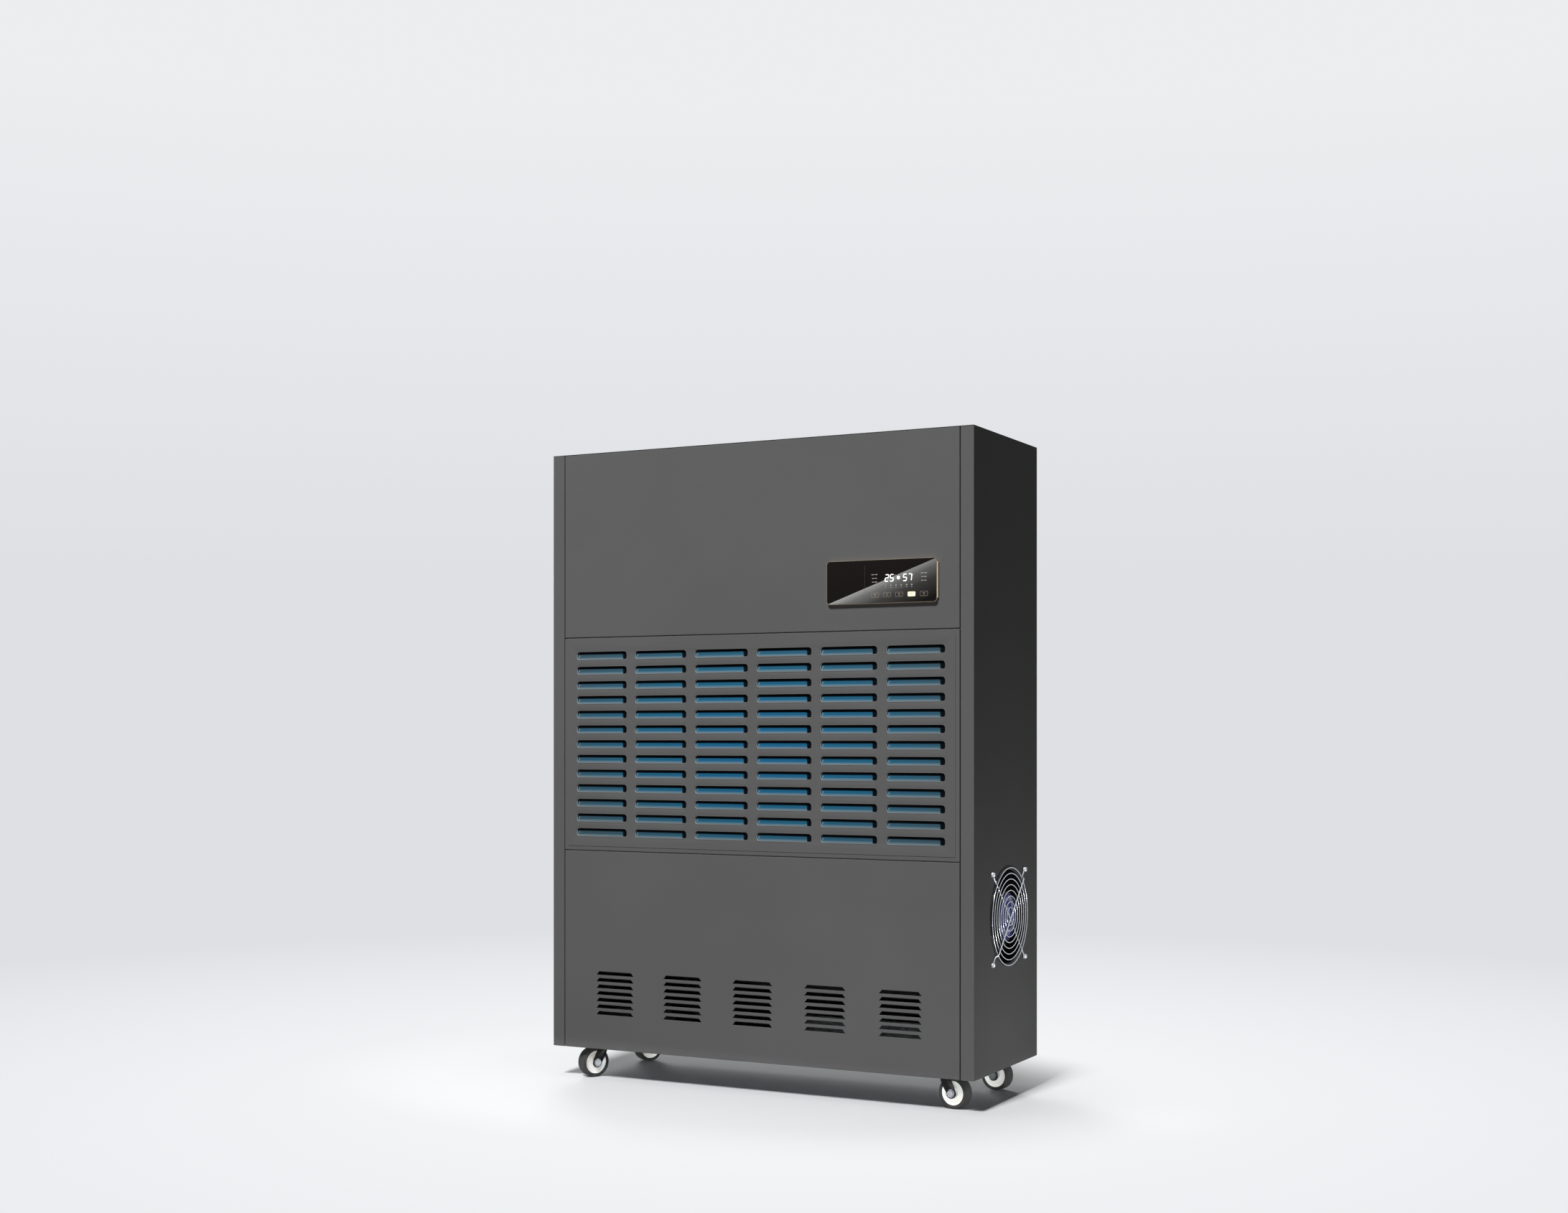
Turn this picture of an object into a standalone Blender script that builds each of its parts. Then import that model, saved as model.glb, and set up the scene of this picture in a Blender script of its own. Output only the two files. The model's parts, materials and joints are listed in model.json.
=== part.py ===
"""Commercial floor dehumidifier on four swivel casters.

Units are metres and +Z is up. The front faces -Y, and the origin is on the floor under the middle
of the cabinet.
"""

import math

import bmesh
import bpy
from mathutils import Matrix, Vector

# Cabinet
CABINET_WIDTH = 1.240
CABINET_DEPTH = 0.450
CABINET_HEIGHT = 1.620
SKIRT_CLEARANCE = 0.085
SHEET = 0.0015
REVEAL = 0.002
SIDE_STRIP = 0.036
REAR_FLANGE = 0.028
PAN_DEPTH = 0.018
PAN_BEND = 0.002
LOWER_PANEL_HEIGHT = 0.539
INTAKE_PANEL_HEIGHT = 0.579
RAIL_HEIGHT = 0.040
RAIL_DEPTH = 0.030
BASE_RIM = 0.045
TOP_FLANGE = 0.020
FIT = 0.0003
RUNNING_FIT = 0.0005

# Intake slots
SLOT_LENGTH = 0.162
SLOT_HEIGHT = 0.024
SLOT_COLUMN_PITCH = 0.1854
SLOT_ROW_PITCH = 0.040
SLOT_MARGIN = 0.030
SLOT_TAPER = 0.0040
INTAKE_FACE = 0.004
INTAKE_FIELD_RISE = 0.001
INTAKE_BORDER = 0.010

# Louvres of the lower panel
LOUVRE_WIDTH = 0.1175
LOUVRE_TOP_WIDTH = 0.100
LOUVRE_HEIGHT = 0.010
LOUVRE_PITCH = 0.018
LOUVRE_ROWS = 7
LOUVRE_GROUP_PITCH = 0.2106
LOUVRE_SIDE_MARGIN = 0.060
LOUVRE_BOTTOM = 0.094
LOUVRE_BLADE = 0.012

# Control unit
CONTROL_WIDTH = 0.304
CONTROL_HEIGHT = 0.110
CONTROL_THICKNESS = 0.009
CONTROL_CORNER = 0.010
CONTROL_FROM_RIGHT = 0.247
CONTROL_ABOVE_JOINT = 0.123
BEZEL_WALL = 0.0018
GLASS_THICKNESS = 0.004

# Air filter
FILTER_THICKNESS = 0.0095
FILTER_BORDER = 0.016
FILTER_MESH = 0.003
FILTER_SETBACK = 0.0035

# Side fan
FAN_DIAMETER = 0.254
FAN_RIM = 0.003
FAN_FROM_FRONT = 0.234
FAN_DECK_GAP = 0.005
FAN_FRAME_DEPTH = 0.080
FAN_AXIS_DEPTH = 0.036
FAN_HUB_RADIUS = 0.064
FAN_HUB_SETBACK = 0.001
FAN_HUB_EDGE = 0.004
FAN_HUB_BACK = 0.026
FAN_SHAFT_RADIUS = 0.005
FAN_SHAFT_END = 0.022
FAN_BLADES = 5
GUARD_WIRE = 0.0017
GUARD_RINGS = 8
GUARD_STANDOFF = 0.0075
GUARD_EAR = 0.034

# Casters
WHEEL_RADIUS = 0.040
WHEEL_WIDTH = 0.036
TYRE_THICKNESS = 0.009
CASTER_HEADROOM = 0.0225
CASTER_TRAIL = 0.030
CASTER_INSET_X = 0.110
CASTER_INSET_Y = 0.080
CASTER_PLATE_X = 0.090
CASTER_PLATE_Y = 0.070
FORK_SHEET = 0.003
AXLE_RADIUS = 0.005
KINGPIN_RADIUS = 0.006
CASTER_SWIVEL_DEG = {"front_left": 242.3, "front_right": -7.8, "rear_left": 242.3, "rear_right": -7.8}

# Air and refrigerant circuit
COIL_DECK_HEIGHT = 0.530
BLOWER_ROOM = 0.470
DECK_FLANGE = 0.010
COIL_SIDE_ROOM = 0.090
EVAPORATOR_DEPTH = 0.070
CONDENSER_DEPTH = 0.060
COIL_FROM_FRONT = 0.060
COIL_SPACING = 0.015
COIL_BENDS = 4
TRAY_HEIGHT = 0.035
BLOWER_WHEEL_RADIUS = 0.110
BLOWER_WIDTH = 0.360
BLOWER_BACK_ROOM = 0.030
BLOWER_BLADES = 9
OUTLET_DEPTH = 0.015
COMPRESSOR_RADIUS = 0.085
COMPRESSOR_HEIGHT = 0.360
COMPRESSOR_FROM_LEFT = 0.330
ACCUMULATOR_RADIUS = 0.038
ACCUMULATOR_HEIGHT = 0.220
PIPE_RADIUS = 0.007
DRIER_RADIUS = 0.018
DRIER_LENGTH = 0.110
DRIER_ABOVE_DECK = 0.050
DRAIN_RADIUS = 0.010
DRAIN_FROM_RIGHT = 0.200
GLAND_FROM_LEFT = 0.160
OUTLETS_HEIGHT = 0.130
ELECTRIC_BOX = (0.200, 0.100, 0.240)
ELECTRIC_LID = 0.004

# Levels and inner faces that follow from the sizes above
BODY_LOW = SKIRT_CLEARANCE
BODY_HIGH = SKIRT_CLEARANCE + CABINET_HEIGHT
WALL_TOP = BODY_HIGH - SHEET - FIT
LOW_JOINT = BODY_LOW + LOWER_PANEL_HEIGHT
HIGH_JOINT = LOW_JOINT + INTAKE_PANEL_HEIGHT
CASTER_HEIGHT = 2 * WHEEL_RADIUS + CASTER_HEADROOM
BASE_Z = CASTER_HEIGHT + FIT
COIL_DECK_Z = BODY_LOW + COIL_DECK_HEIGHT
BLOWER_DECK_Z = BODY_HIGH - BLOWER_ROOM
BEND = SHEET + FIT
HALF_WIDTH = CABINET_WIDTH / 2
FRONT = -CABINET_DEPTH / 2
BACK = CABINET_DEPTH / 2
INNER_X = HALF_WIDTH - SHEET - FIT
INNER_FRONT = FRONT + PAN_DEPTH + FIT
INNER_BACK = BACK - 2 * SHEET - 2 * FIT
PANEL_X = HALF_WIDTH - SIDE_STRIP - REVEAL
RAIL_BACK = INNER_FRONT + RAIL_DEPTH
PIPE_RUN_X = -INNER_X + 0.026
FAN_Y = FRONT + FAN_FROM_FRONT
FAN_Z = COIL_DECK_Z - DECK_FLANGE - FAN_DECK_GAP - FAN_DIAMETER / 2
FAN_HOLE_DIAMETER = FAN_DIAMETER - 2 * FAN_RIM
GUARD_RING_PITCH = (FAN_DIAMETER / 2 - GUARD_WIRE) / (GUARD_RINGS + 0.6)
GUARD_EAR_RADIUS = FAN_DIAMETER / 2 + GUARD_EAR

WELD = 0.00001
SMOOTH_ANGLE = math.radians(38)
FACE_FRONT = Matrix.Rotation(math.pi / 2, 4, "X")
ALONG_X = Matrix(((0, 0, 1, 0), (1, 0, 0, 0), (0, 1, 0, 0), (0, 0, 0, 1)))

for stale in list(bpy.data.objects):
    bpy.data.objects.remove(stale, do_unlink=True)


def new_collection(name, hidden):
    """Add a collection to the scene."""
    group = bpy.data.collections.new(name)
    bpy.context.scene.collection.children.link(group)
    group.hide_render = hidden
    return group


PARTS = new_collection("dehumidifier", False)
CUTTERS = new_collection("cutters", True)


def finish(name, rgb, roughness, metallic=0.0):
    """A plain Principled material."""
    made = bpy.data.materials.new(name)
    made.use_nodes = True
    shader = made.node_tree.nodes["Principled BSDF"]
    shader.inputs["Base Color"].default_value = (*rgb, 1.0)
    shader.inputs["Roughness"].default_value = roughness
    shader.inputs["Metallic"].default_value = metallic
    return made


GREY_PAINT = finish("grey_paint", (0.10, 0.10, 0.105), 0.45)
GALVANISED = finish("galvanised_steel", (0.45, 0.46, 0.47), 0.4, 1.0)
BLACK_GLASS = finish("black_glass", (0.005, 0.005, 0.006), 0.05)
BEZEL_METAL = finish("champagne_metal", (0.48, 0.42, 0.33), 0.3, 1.0)
BOARD = finish("circuit_board", (0.02, 0.11, 0.05), 0.5)
BLUE_MESH = finish("blue_filter_mesh", (0.02, 0.12, 0.28), 0.7)
BLACK_PLASTIC = finish("black_plastic", (0.012, 0.012, 0.013), 0.4)
WHITE_NYLON = finish("white_nylon", (0.72, 0.72, 0.70), 0.4)
TYRE_RUBBER = finish("tyre_rubber", (0.015, 0.015, 0.015), 0.7)
ZINC = finish("zinc_plate", (0.55, 0.55, 0.53), 0.3, 1.0)
COPPER = finish("copper", (0.60, 0.26, 0.15), 0.3, 1.0)
ALUMINIUM = finish("fin_aluminium", (0.62, 0.63, 0.64), 0.35, 1.0)
BRASS = finish("brass", (0.60, 0.45, 0.16), 0.3, 1.0)
BLACK_ENAMEL = finish("black_enamel", (0.01, 0.01, 0.01), 0.25)


def add_mesh(name, mesh, look, group=PARTS):
    """Put a mesh in a collection as one object."""
    made = bpy.data.objects.new(name, mesh)
    group.objects.link(made)
    if look is not None:
        made.data.materials.append(look)
    return made


def add_bmesh(name, form, look, group=PARTS):
    """Turn a bmesh into an object with outward normals."""
    mesh = bpy.data.meshes.new(name)
    form.to_mesh(mesh)
    form.free()
    return add_mesh(name, mesh, look, group)


def box_form(low, high, form=None):
    """A closed box between two corners, added to a bmesh."""
    form = form or bmesh.new()
    low = Vector(low)
    high = Vector(high)
    size = high - low
    place = Matrix.Translation((low + high) / 2) @ Matrix.Diagonal((*size, 1.0))
    bmesh.ops.create_cube(form, size=1.0, matrix=place)
    return form


def box(name, low, high, look, group=PARTS):
    """A closed box as an object."""
    return add_bmesh(name, box_form(low, high), look, group)


def rod_form(start, end, radius, sides, form=None, end_radius=None):
    """A straight round bar or cone between two points, added to a bmesh."""
    form = form or bmesh.new()
    start = Vector(start)
    end = Vector(end)
    turn = (end - start).to_track_quat("Z", "Y").to_matrix().to_4x4()
    place = Matrix.Translation((start + end) / 2) @ turn
    tip = radius if end_radius is None else end_radius
    bmesh.ops.create_cone(form, cap_ends=True, segments=sides, radius1=radius, radius2=tip,
                          depth=(end - start).length, matrix=place)
    return form


def bore_radius(radius, sides):
    """Corner radius of a hole with flat sides that clears a round bar."""
    return radius / math.cos(math.pi / sides)


def boolean(target, tool, operation):
    """Cut a tool from a target or join it on; the tool moves to the hidden collection."""
    for group in list(tool.users_collection):
        group.objects.unlink(tool)
    CUTTERS.objects.link(tool)
    tool.display_type = "WIRE"
    tool.hide_render = True
    step = target.modifiers.new(operation.lower(), "BOOLEAN")
    step.operation = operation
    step.solver = "EXACT"
    step.object = tool
    return target


def cut(target, form):
    """Take a bmesh out of a target."""
    return boolean(target, add_bmesh(target.name + "_cutter", form, None, CUTTERS), "DIFFERENCE")


def join(target, form):
    """Join a bmesh on to a target."""
    return boolean(target, add_bmesh(target.name + "_piece", form, None, CUTTERS), "UNION")


def solid_mesh(source):
    """The welded mesh of an object with its modifiers, in its own coordinates."""
    graph = bpy.context.evaluated_depsgraph_get()
    mesh = bpy.data.meshes.new_from_object(source.evaluated_get(graph))
    form = bmesh.new()
    form.from_mesh(mesh)
    bmesh.ops.remove_doubles(form, verts=form.verts, dist=WELD)
    bmesh.ops.recalc_face_normals(form, faces=form.faces)
    form.to_mesh(mesh)
    form.free()
    mesh.shade_smooth()
    mesh.set_sharp_from_angle(angle=SMOOTH_ANGLE)
    return mesh


def baked(source, look):
    """Replace an object that is only a construction by its finished mesh."""
    mesh = solid_mesh(source)
    mesh.materials.clear()
    mesh.materials.append(look)
    bpy.data.objects.remove(source, do_unlink=True)
    return mesh


def form_of(mesh):
    """A mesh as a bmesh, for use as a tool."""
    form = bmesh.new()
    form.from_mesh(mesh)
    return form


def outline_mesh(name, outlines, thickness, place, look):
    """A flat outline, with holes as further outlines, drawn out evenly to both sides."""
    curve = bpy.data.curves.new(name, "CURVE")
    curve.dimensions = "2D"
    curve.fill_mode = "BOTH"
    curve.extrude = thickness / 2
    for outline in outlines:
        spline = curve.splines.new("POLY")
        spline.points.add(len(outline) - 1)
        for point, (across, up) in zip(spline.points, outline):
            point.co = (across, up, 0.0, 1.0)
        spline.use_cyclic_u = True
    drawn = bpy.data.objects.new(name + "_outline", curve)
    CUTTERS.objects.link(drawn)
    mesh = baked(drawn, look)
    mesh.transform(place)
    return mesh


def tube(name, points, radius, look, closed=False, sides=2):
    """A round wire or pipe along points, as a mesh."""
    curve = bpy.data.curves.new(name, "CURVE")
    curve.dimensions = "3D"
    curve.bevel_depth = radius
    curve.bevel_resolution = sides
    curve.use_fill_caps = True
    spline = curve.splines.new("POLY")
    spline.points.add(len(points) - 1)
    for knot, point in zip(spline.points, points):
        knot.co = (*point, 1.0)
    spline.use_cyclic_u = closed
    drawn = bpy.data.objects.new(name + "_line", curve)
    CUTTERS.objects.link(drawn)
    return baked(drawn, look)


def turned(name, profile, steps, look, closed=False):
    """A shape turned about Z from (radius, height) points, as a mesh."""
    form = bmesh.new()
    knots = [form.verts.new((radius, 0.0, height)) for radius, height in profile]
    for first, second in zip(knots, knots[1:]):
        form.edges.new((first, second))
    if closed:
        form.edges.new((knots[-1], knots[0]))
    spun = add_bmesh(name + "_profile", form, None, CUTTERS)
    screw = spun.modifiers.new("turn", "SCREW")
    screw.angle = math.tau
    screw.steps = steps
    screw.render_steps = steps
    screw.use_merge_vertices = True
    screw.merge_threshold = WELD
    return baked(spun, look)


def shell_box(name, low, high, open_sides, wall, look, bend=0.0):
    """Folded sheet: a box without its open sides, thickened inwards."""
    form = box_form(low, high)
    form.normal_update()
    away = [face for face in form.faces if any(face.normal.dot(Vector(side)) > 0.9 for side in open_sides)]
    bmesh.ops.delete(form, geom=away, context="FACES")
    made = add_bmesh(name, form, look)
    if bend > 0.0:
        corner = made.modifiers.new("bend", "BEVEL")
        corner.width = bend
        corner.segments = 2
        corner.limit_method = "ANGLE"
    sheet = made.modifiers.new("sheet", "SOLIDIFY")
    sheet.thickness = wall
    sheet.offset = -1.0
    sheet.use_even_offset = True
    return made


def arc(centre, radius, start_deg, end_deg, steps):
    """Points of a circular arc."""
    points = []
    for step in range(steps + 1):
        angle = math.radians(start_deg + (end_deg - start_deg) * step / steps)
        points.append((centre[0] + radius * math.cos(angle), centre[1] + radius * math.sin(angle)))
    return points


def rounded_rectangle(width, height, radius, steps=3):
    """Outline of a rectangle with round corners about the origin."""
    x = width / 2 - radius
    y = height / 2 - radius
    return (arc((x, y), radius, 0, 90, steps) + arc((-x, y), radius, 90, 180, steps)
            + arc((-x, -y), radius, 180, 270, steps) + arc((x, -y), radius, 270, 360, steps))


def smooth_route(points, per_span=4):
    """A soft line (Catmull-Rom) through points, whose first and last stretch stay straight."""
    knots = [Vector(point) for point in points]
    route = [knots[0]]
    for before, first, second, after in zip(knots, knots[1:], knots[2:], knots[3:]):
        for step in range(per_span):
            t = step / per_span
            route.append(0.5 * (2 * first + (second - before) * t
                                + (2 * before - 5 * first + 4 * second - after) * t ** 2
                                + (3 * first - before - 3 * second + after) * t ** 3))
    return [*route, knots[-2], knots[-1]]


def folded_side(name, side, look):
    """Side panel with its front strip, the strip's return and a rear flange, folded from one sheet."""
    strip = side * (HALF_WIDTH - SIDE_STRIP)
    rear = BACK - SHEET - FIT
    wall = side * HALF_WIDTH
    corners = [(strip, FRONT + PAN_DEPTH), (strip, FRONT), (wall, FRONT), (wall, rear),
               (wall - side * REAR_FLANGE, rear)]
    line = [Vector(corners[0])]
    for before, here, after in zip(corners, corners[1:], corners[2:]):
        inward = (Vector(before) - Vector(here)).normalized() * BEND
        outward = (Vector(after) - Vector(here)).normalized() * BEND
        centre = Vector(here) + inward + outward
        for turn in (0, 30, 60, 90):
            blend = math.radians(turn)
            line.append(centre - outward * math.cos(blend) - inward * math.sin(blend))
    line.append(Vector(corners[-1]))
    form = bmesh.new()
    knots = [form.verts.new((point.x, point.y, BODY_LOW)) for point in line]
    edges = [form.edges.new(pair) for pair in zip(knots, knots[1:])]
    raised = bmesh.ops.extrude_edge_only(form, edges=edges)
    top = [item for item in raised["geom"] if isinstance(item, bmesh.types.BMVert)]
    bmesh.ops.translate(form, vec=(0.0, 0.0, WALL_TOP - BODY_LOW), verts=top)
    form.normal_update()
    web = max(form.faces, key=lambda face: face.calc_area())
    if web.normal.x * side < 0.0:
        bmesh.ops.reverse_faces(form, faces=form.faces[:])
    made = add_bmesh(name, form, look)
    sheet = made.modifiers.new("sheet", "SOLIDIFY")
    sheet.thickness = SHEET
    sheet.offset = -1.0
    sheet.use_even_offset = True
    return made


def build_walls():
    """Base tray, side, rear and top panels and the two cross rails."""
    shell_box("base_tray", (-INNER_X, INNER_FRONT, BASE_Z), (INNER_X, INNER_BACK, BASE_Z + BASE_RIM),
              [(0, 0, 1)], SHEET, GALVANISED)
    folded_side("left_side_panel", -1, GREY_PAINT)
    right = folded_side("right_side_panel", 1, GREY_PAINT)
    cut(right, rod_form((HALF_WIDTH - 0.02, FAN_Y, FAN_Z), (HALF_WIDTH + 0.02, FAN_Y, FAN_Z),
                        FAN_HOLE_DIAMETER / 2, 32))
    rear = box("rear_panel", (-HALF_WIDTH, BACK - SHEET, BODY_LOW), (HALF_WIDTH, BACK, WALL_TOP), GREY_PAINT)
    through = Vector((0.0, 0.01, 0.0))
    holes = bmesh.new()
    for point, radius in ((drain_point(), DRAIN_RADIUS + 0.0045), (gland_point(), 0.0105)):
        rod_form(point - through, point + through, radius, 16, holes)
    cut(rear, holes)
    for name, level in (("lower_front_rail", LOW_JOINT), ("upper_front_rail", HIGH_JOINT)):
        low = (-INNER_X, INNER_FRONT, level - RAIL_HEIGHT / 2)
        high = (INNER_X, RAIL_BACK, level + RAIL_HEIGHT / 2)
        shell_box(name, low, high, [(0, 1, 0), (1, 0, 0), (-1, 0, 0)], SHEET, GALVANISED)
    top = box("top_panel", (-HALF_WIDTH, FRONT, BODY_HIGH - SHEET), (HALF_WIDTH, BACK, BODY_HIGH), GREY_PAINT)
    flange = box_form((-INNER_X, INNER_FRONT, BODY_HIGH - TOP_FLANGE),
                      (INNER_X, INNER_BACK, BODY_HIGH - SHEET / 2))
    ring = add_bmesh("top_flange", flange, None, CUTTERS)
    cut(ring, box_form((-INNER_X + SHEET, INNER_FRONT + SHEET, BODY_HIGH - 2 * TOP_FLANGE),
                       (INNER_X - SHEET, INNER_BACK - SHEET, BODY_HIGH + TOP_FLANGE)))
    boolean(top, ring, "UNION")
    low, high = outlet_frame()
    cut(top, box_form((low[0] - FIT, low[1] - FIT, BODY_HIGH - 0.01),
                      (high[0] + FIT, high[1] + FIT, BODY_HIGH + 0.01)))


def drain_point():
    """Where the drain spigot goes through the rear panel."""
    return Vector((INNER_X - DRAIN_FROM_RIGHT, BACK, BODY_LOW + OUTLETS_HEIGHT))


def gland_point():
    """Where the mains gland goes through the rear panel."""
    return Vector((-INNER_X + GLAND_FROM_LEFT, BACK, BODY_LOW + OUTLETS_HEIGHT))


def front_pan(name, low_z, high_z, face):
    """One front panel: a tray open to the back."""
    low = (-PANEL_X, FRONT, low_z)
    high = (PANEL_X, FRONT + PAN_DEPTH, high_z)
    if face == SHEET:
        return shell_box(name, low, high, [(0, 1, 0)], SHEET, GREY_PAINT, bend=PAN_BEND)
    form = box_form(low, high)
    edges = [edge for edge in form.edges if min(corner.co.y for corner in edge.verts) < FRONT + FIT]
    bmesh.ops.bevel(form, geom=edges, offset=PAN_BEND, offset_type="OFFSET", segments=2, profile=0.5,
                    affect="EDGES", material=-1)
    made = add_bmesh(name, form, GREY_PAINT)
    inset = 0.001 + INTAKE_BORDER
    field = box_form((-PANEL_X + inset, FRONT - INTAKE_FIELD_RISE, low_z + inset),
                     (PANEL_X - inset, FRONT + face / 2, high_z - inset))
    join(made, field)
    cut(made, box_form((-PANEL_X + SHEET, FRONT + face, low_z + SHEET),
                       (PANEL_X - SHEET, FRONT + PAN_DEPTH + 0.01, high_z - SHEET)))
    return made


def slot_form(span_x, low_z, high_z):
    """Every intake slot as one tool: long slots with round ends, narrowing to the back."""
    columns = int((span_x - 2 * SLOT_MARGIN + SLOT_COLUMN_PITCH - SLOT_LENGTH) / SLOT_COLUMN_PITCH)
    rows = int((high_z - low_z - 2 * SLOT_MARGIN + SLOT_ROW_PITCH - SLOT_HEIGHT) / SLOT_ROW_PITCH)
    sides = 8
    spare = 0.002
    reach = INTAKE_FACE + INTAKE_FIELD_RISE
    slope = SLOT_TAPER / reach
    front = bore_radius(SLOT_HEIGHT / 2 + slope * spare, sides)
    back = bore_radius(SLOT_HEIGHT / 2 - slope * (reach + spare), sides)
    straight = (SLOT_LENGTH - SLOT_HEIGHT) / 2
    flat_on_top = Matrix.Rotation(math.pi / sides, 4, "Z")
    form = bmesh.new()
    for column in range(columns):
        for row in range(rows):
            spot = ((column - (columns - 1) / 2) * SLOT_COLUMN_PITCH, FRONT - INTAKE_FIELD_RISE + reach / 2,
                    (low_z + high_z) / 2 + (row - (rows - 1) / 2) * SLOT_ROW_PITCH)
            place = Matrix.Translation(spot) @ FACE_FRONT @ flat_on_top
            made = bmesh.ops.create_cone(form, cap_ends=True, segments=sides, radius1=back, radius2=front,
                                         depth=reach + 2 * spare, matrix=place)
            for corner in made["verts"]:
                corner.co.x += math.copysign(straight, corner.co.x - spot[0])
    return form


def louvre_forms(low_z):
    """The trapezoid slits of the lower panel as one tool, and their inner blades as another."""
    room = 2 * (PANEL_X - LOUVRE_SIDE_MARGIN)
    groups = int((room + LOUVRE_GROUP_PITCH - LOUVRE_WIDTH) / LOUVRE_GROUP_PITCH)
    slits = bmesh.new()
    blades = bmesh.new()
    for group in range(groups):
        centre = (group - (groups - 1) / 2) * LOUVRE_GROUP_PITCH
        for row in range(LOUVRE_ROWS):
            level = low_z + LOUVRE_BOTTOM + row * LOUVRE_PITCH
            size = Matrix.Diagonal((LOUVRE_WIDTH, 0.02, LOUVRE_HEIGHT, 1.0))
            place = Matrix.Translation((centre, FRONT, level + LOUVRE_HEIGHT / 2)) @ size
            made = bmesh.ops.create_cube(slits, size=1.0, matrix=place)
            for corner in made["verts"]:
                if corner.co.z > level + LOUVRE_HEIGHT / 2:
                    corner.co.x = centre + (corner.co.x - centre) * LOUVRE_TOP_WIDTH / LOUVRE_WIDTH
            root = Vector((centre, FRONT + SHEET * 0.6, level + LOUVRE_HEIGHT + SHEET * 0.7))
            tilt = Matrix.Rotation(math.radians(-20), 4, "X")
            slab = Matrix.Diagonal((LOUVRE_TOP_WIDTH, LOUVRE_BLADE, SHEET * 0.8, 1.0))
            lay = Matrix.Translation(root) @ tilt @ Matrix.Translation((0, LOUVRE_BLADE / 2, 0)) @ slab
            bmesh.ops.create_cube(blades, size=1.0, matrix=lay)
    return slits, blades


def build_front():
    """Upper, intake and lower front panel."""
    upper_low = HIGH_JOINT + REVEAL / 2
    upper = front_pan("upper_front_panel", upper_low, WALL_TOP, SHEET)
    x, z = control_centre()
    cut(upper, box_form((x - CONTROL_WIDTH / 2 + 0.02, FRONT - 0.01, z - CONTROL_HEIGHT / 2 + 0.015),
                        (x + CONTROL_WIDTH / 2 - 0.02, FRONT + 0.01, z + CONTROL_HEIGHT / 2 - 0.015)))
    intake_low = LOW_JOINT + REVEAL / 2
    intake_high = HIGH_JOINT - REVEAL / 2
    intake = front_pan("intake_panel", intake_low, intake_high, INTAKE_FACE)
    cut(intake, slot_form(2 * PANEL_X, intake_low, intake_high))
    lower = front_pan("lower_front_panel", BODY_LOW, LOW_JOINT - REVEAL / 2, SHEET)
    slits, blades = louvre_forms(BODY_LOW)
    cut(lower, slits)
    join(lower, blades)
    build_filter(intake_low, intake_high)


def build_filter(low_z, high_z):
    """The filter in the intake panel's back: a frame with ribs, and the mesh in front of the ribs."""
    x = PANEL_X - SHEET - FIT
    low = low_z + SHEET + FIT
    high = high_z - SHEET - FIT
    front = FRONT + INTAKE_FACE + FILTER_SETBACK
    back = front + FILTER_THICKNESS
    frame = box("filter_frame", (-x, front, low), (x, back, high), BLACK_PLASTIC)
    seat = front + FILTER_MESH + 2 * FIT
    edge = FILTER_BORDER
    cut(frame, box_form((-x + edge, front - 0.01, low + edge), (x - edge, seat, high - edge)))
    windows = bmesh.new()
    columns = 3
    span = 2 * (x - edge - 0.006)
    for column in range(columns):
        left = -x + edge + 0.006 + column * span / columns
        box_form((left + 0.004, seat - 0.002, low + edge + 0.006),
                 (left + span / columns - 0.004, back + 0.01, high - edge - 0.006), windows)
    cut(frame, windows)
    box("filter_mesh", (-x + edge + FIT, front + FIT / 2, low + edge + FIT),
        (x - edge - FIT, front + FIT / 2 + FILTER_MESH, high - edge - FIT), BLUE_MESH)


def control_centre():
    """Middle of the control unit on the front."""
    return (HALF_WIDTH - CONTROL_FROM_RIGHT, HIGH_JOINT + CONTROL_ABOVE_JOINT)


def build_control():
    """Bezel tray with the glass in it, and the board in its casing behind the panel."""
    x, z = control_centre()
    outer = rounded_rectangle(CONTROL_WIDTH, CONTROL_HEIGHT, CONTROL_CORNER)
    middle = FRONT - FIT - CONTROL_THICKNESS / 2
    place = Matrix.Translation((x, middle, z)) @ FACE_FRONT
    mesh = outline_mesh("control_bezel", [outer], CONTROL_THICKNESS, place, BEZEL_METAL)
    bezel = add_mesh("control_bezel", mesh, None)
    inner_width = CONTROL_WIDTH - 2 * BEZEL_WALL
    inner_height = CONTROL_HEIGHT - 2 * BEZEL_WALL
    pocket = rounded_rectangle(inner_width, inner_height, CONTROL_CORNER - BEZEL_WALL)
    floor = FRONT - FIT - CONTROL_THICKNESS + GLASS_THICKNESS + FIT
    place = Matrix.Translation((x, floor - 0.010, z)) @ FACE_FRONT
    cut(bezel, form_of(outline_mesh("bezel_pocket", [pocket], 0.020, place, None)))
    corner = CONTROL_CORNER - BEZEL_WALL - FIT
    pane = rounded_rectangle(inner_width - 2 * FIT, inner_height - 2 * FIT, corner)
    place = Matrix.Translation((x, floor - FIT - GLASS_THICKNESS / 2, z)) @ FACE_FRONT
    add_mesh("control_glass", outline_mesh("glass", [pane], GLASS_THICKNESS, place, BLACK_GLASS), None)
    board = box("control_board", (x - CONTROL_WIDTH / 2 + 0.025, FRONT, z - CONTROL_HEIGHT / 2 + 0.020),
                (x + CONTROL_WIDTH / 2 - 0.025, FRONT + 0.014, z + CONTROL_HEIGHT / 2 - 0.020), BOARD)
    join(board, box_form((x - 0.050, FRONT + 0.010, z - 0.020), (x + 0.020, FRONT + 0.030, z + 0.022)))


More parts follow.
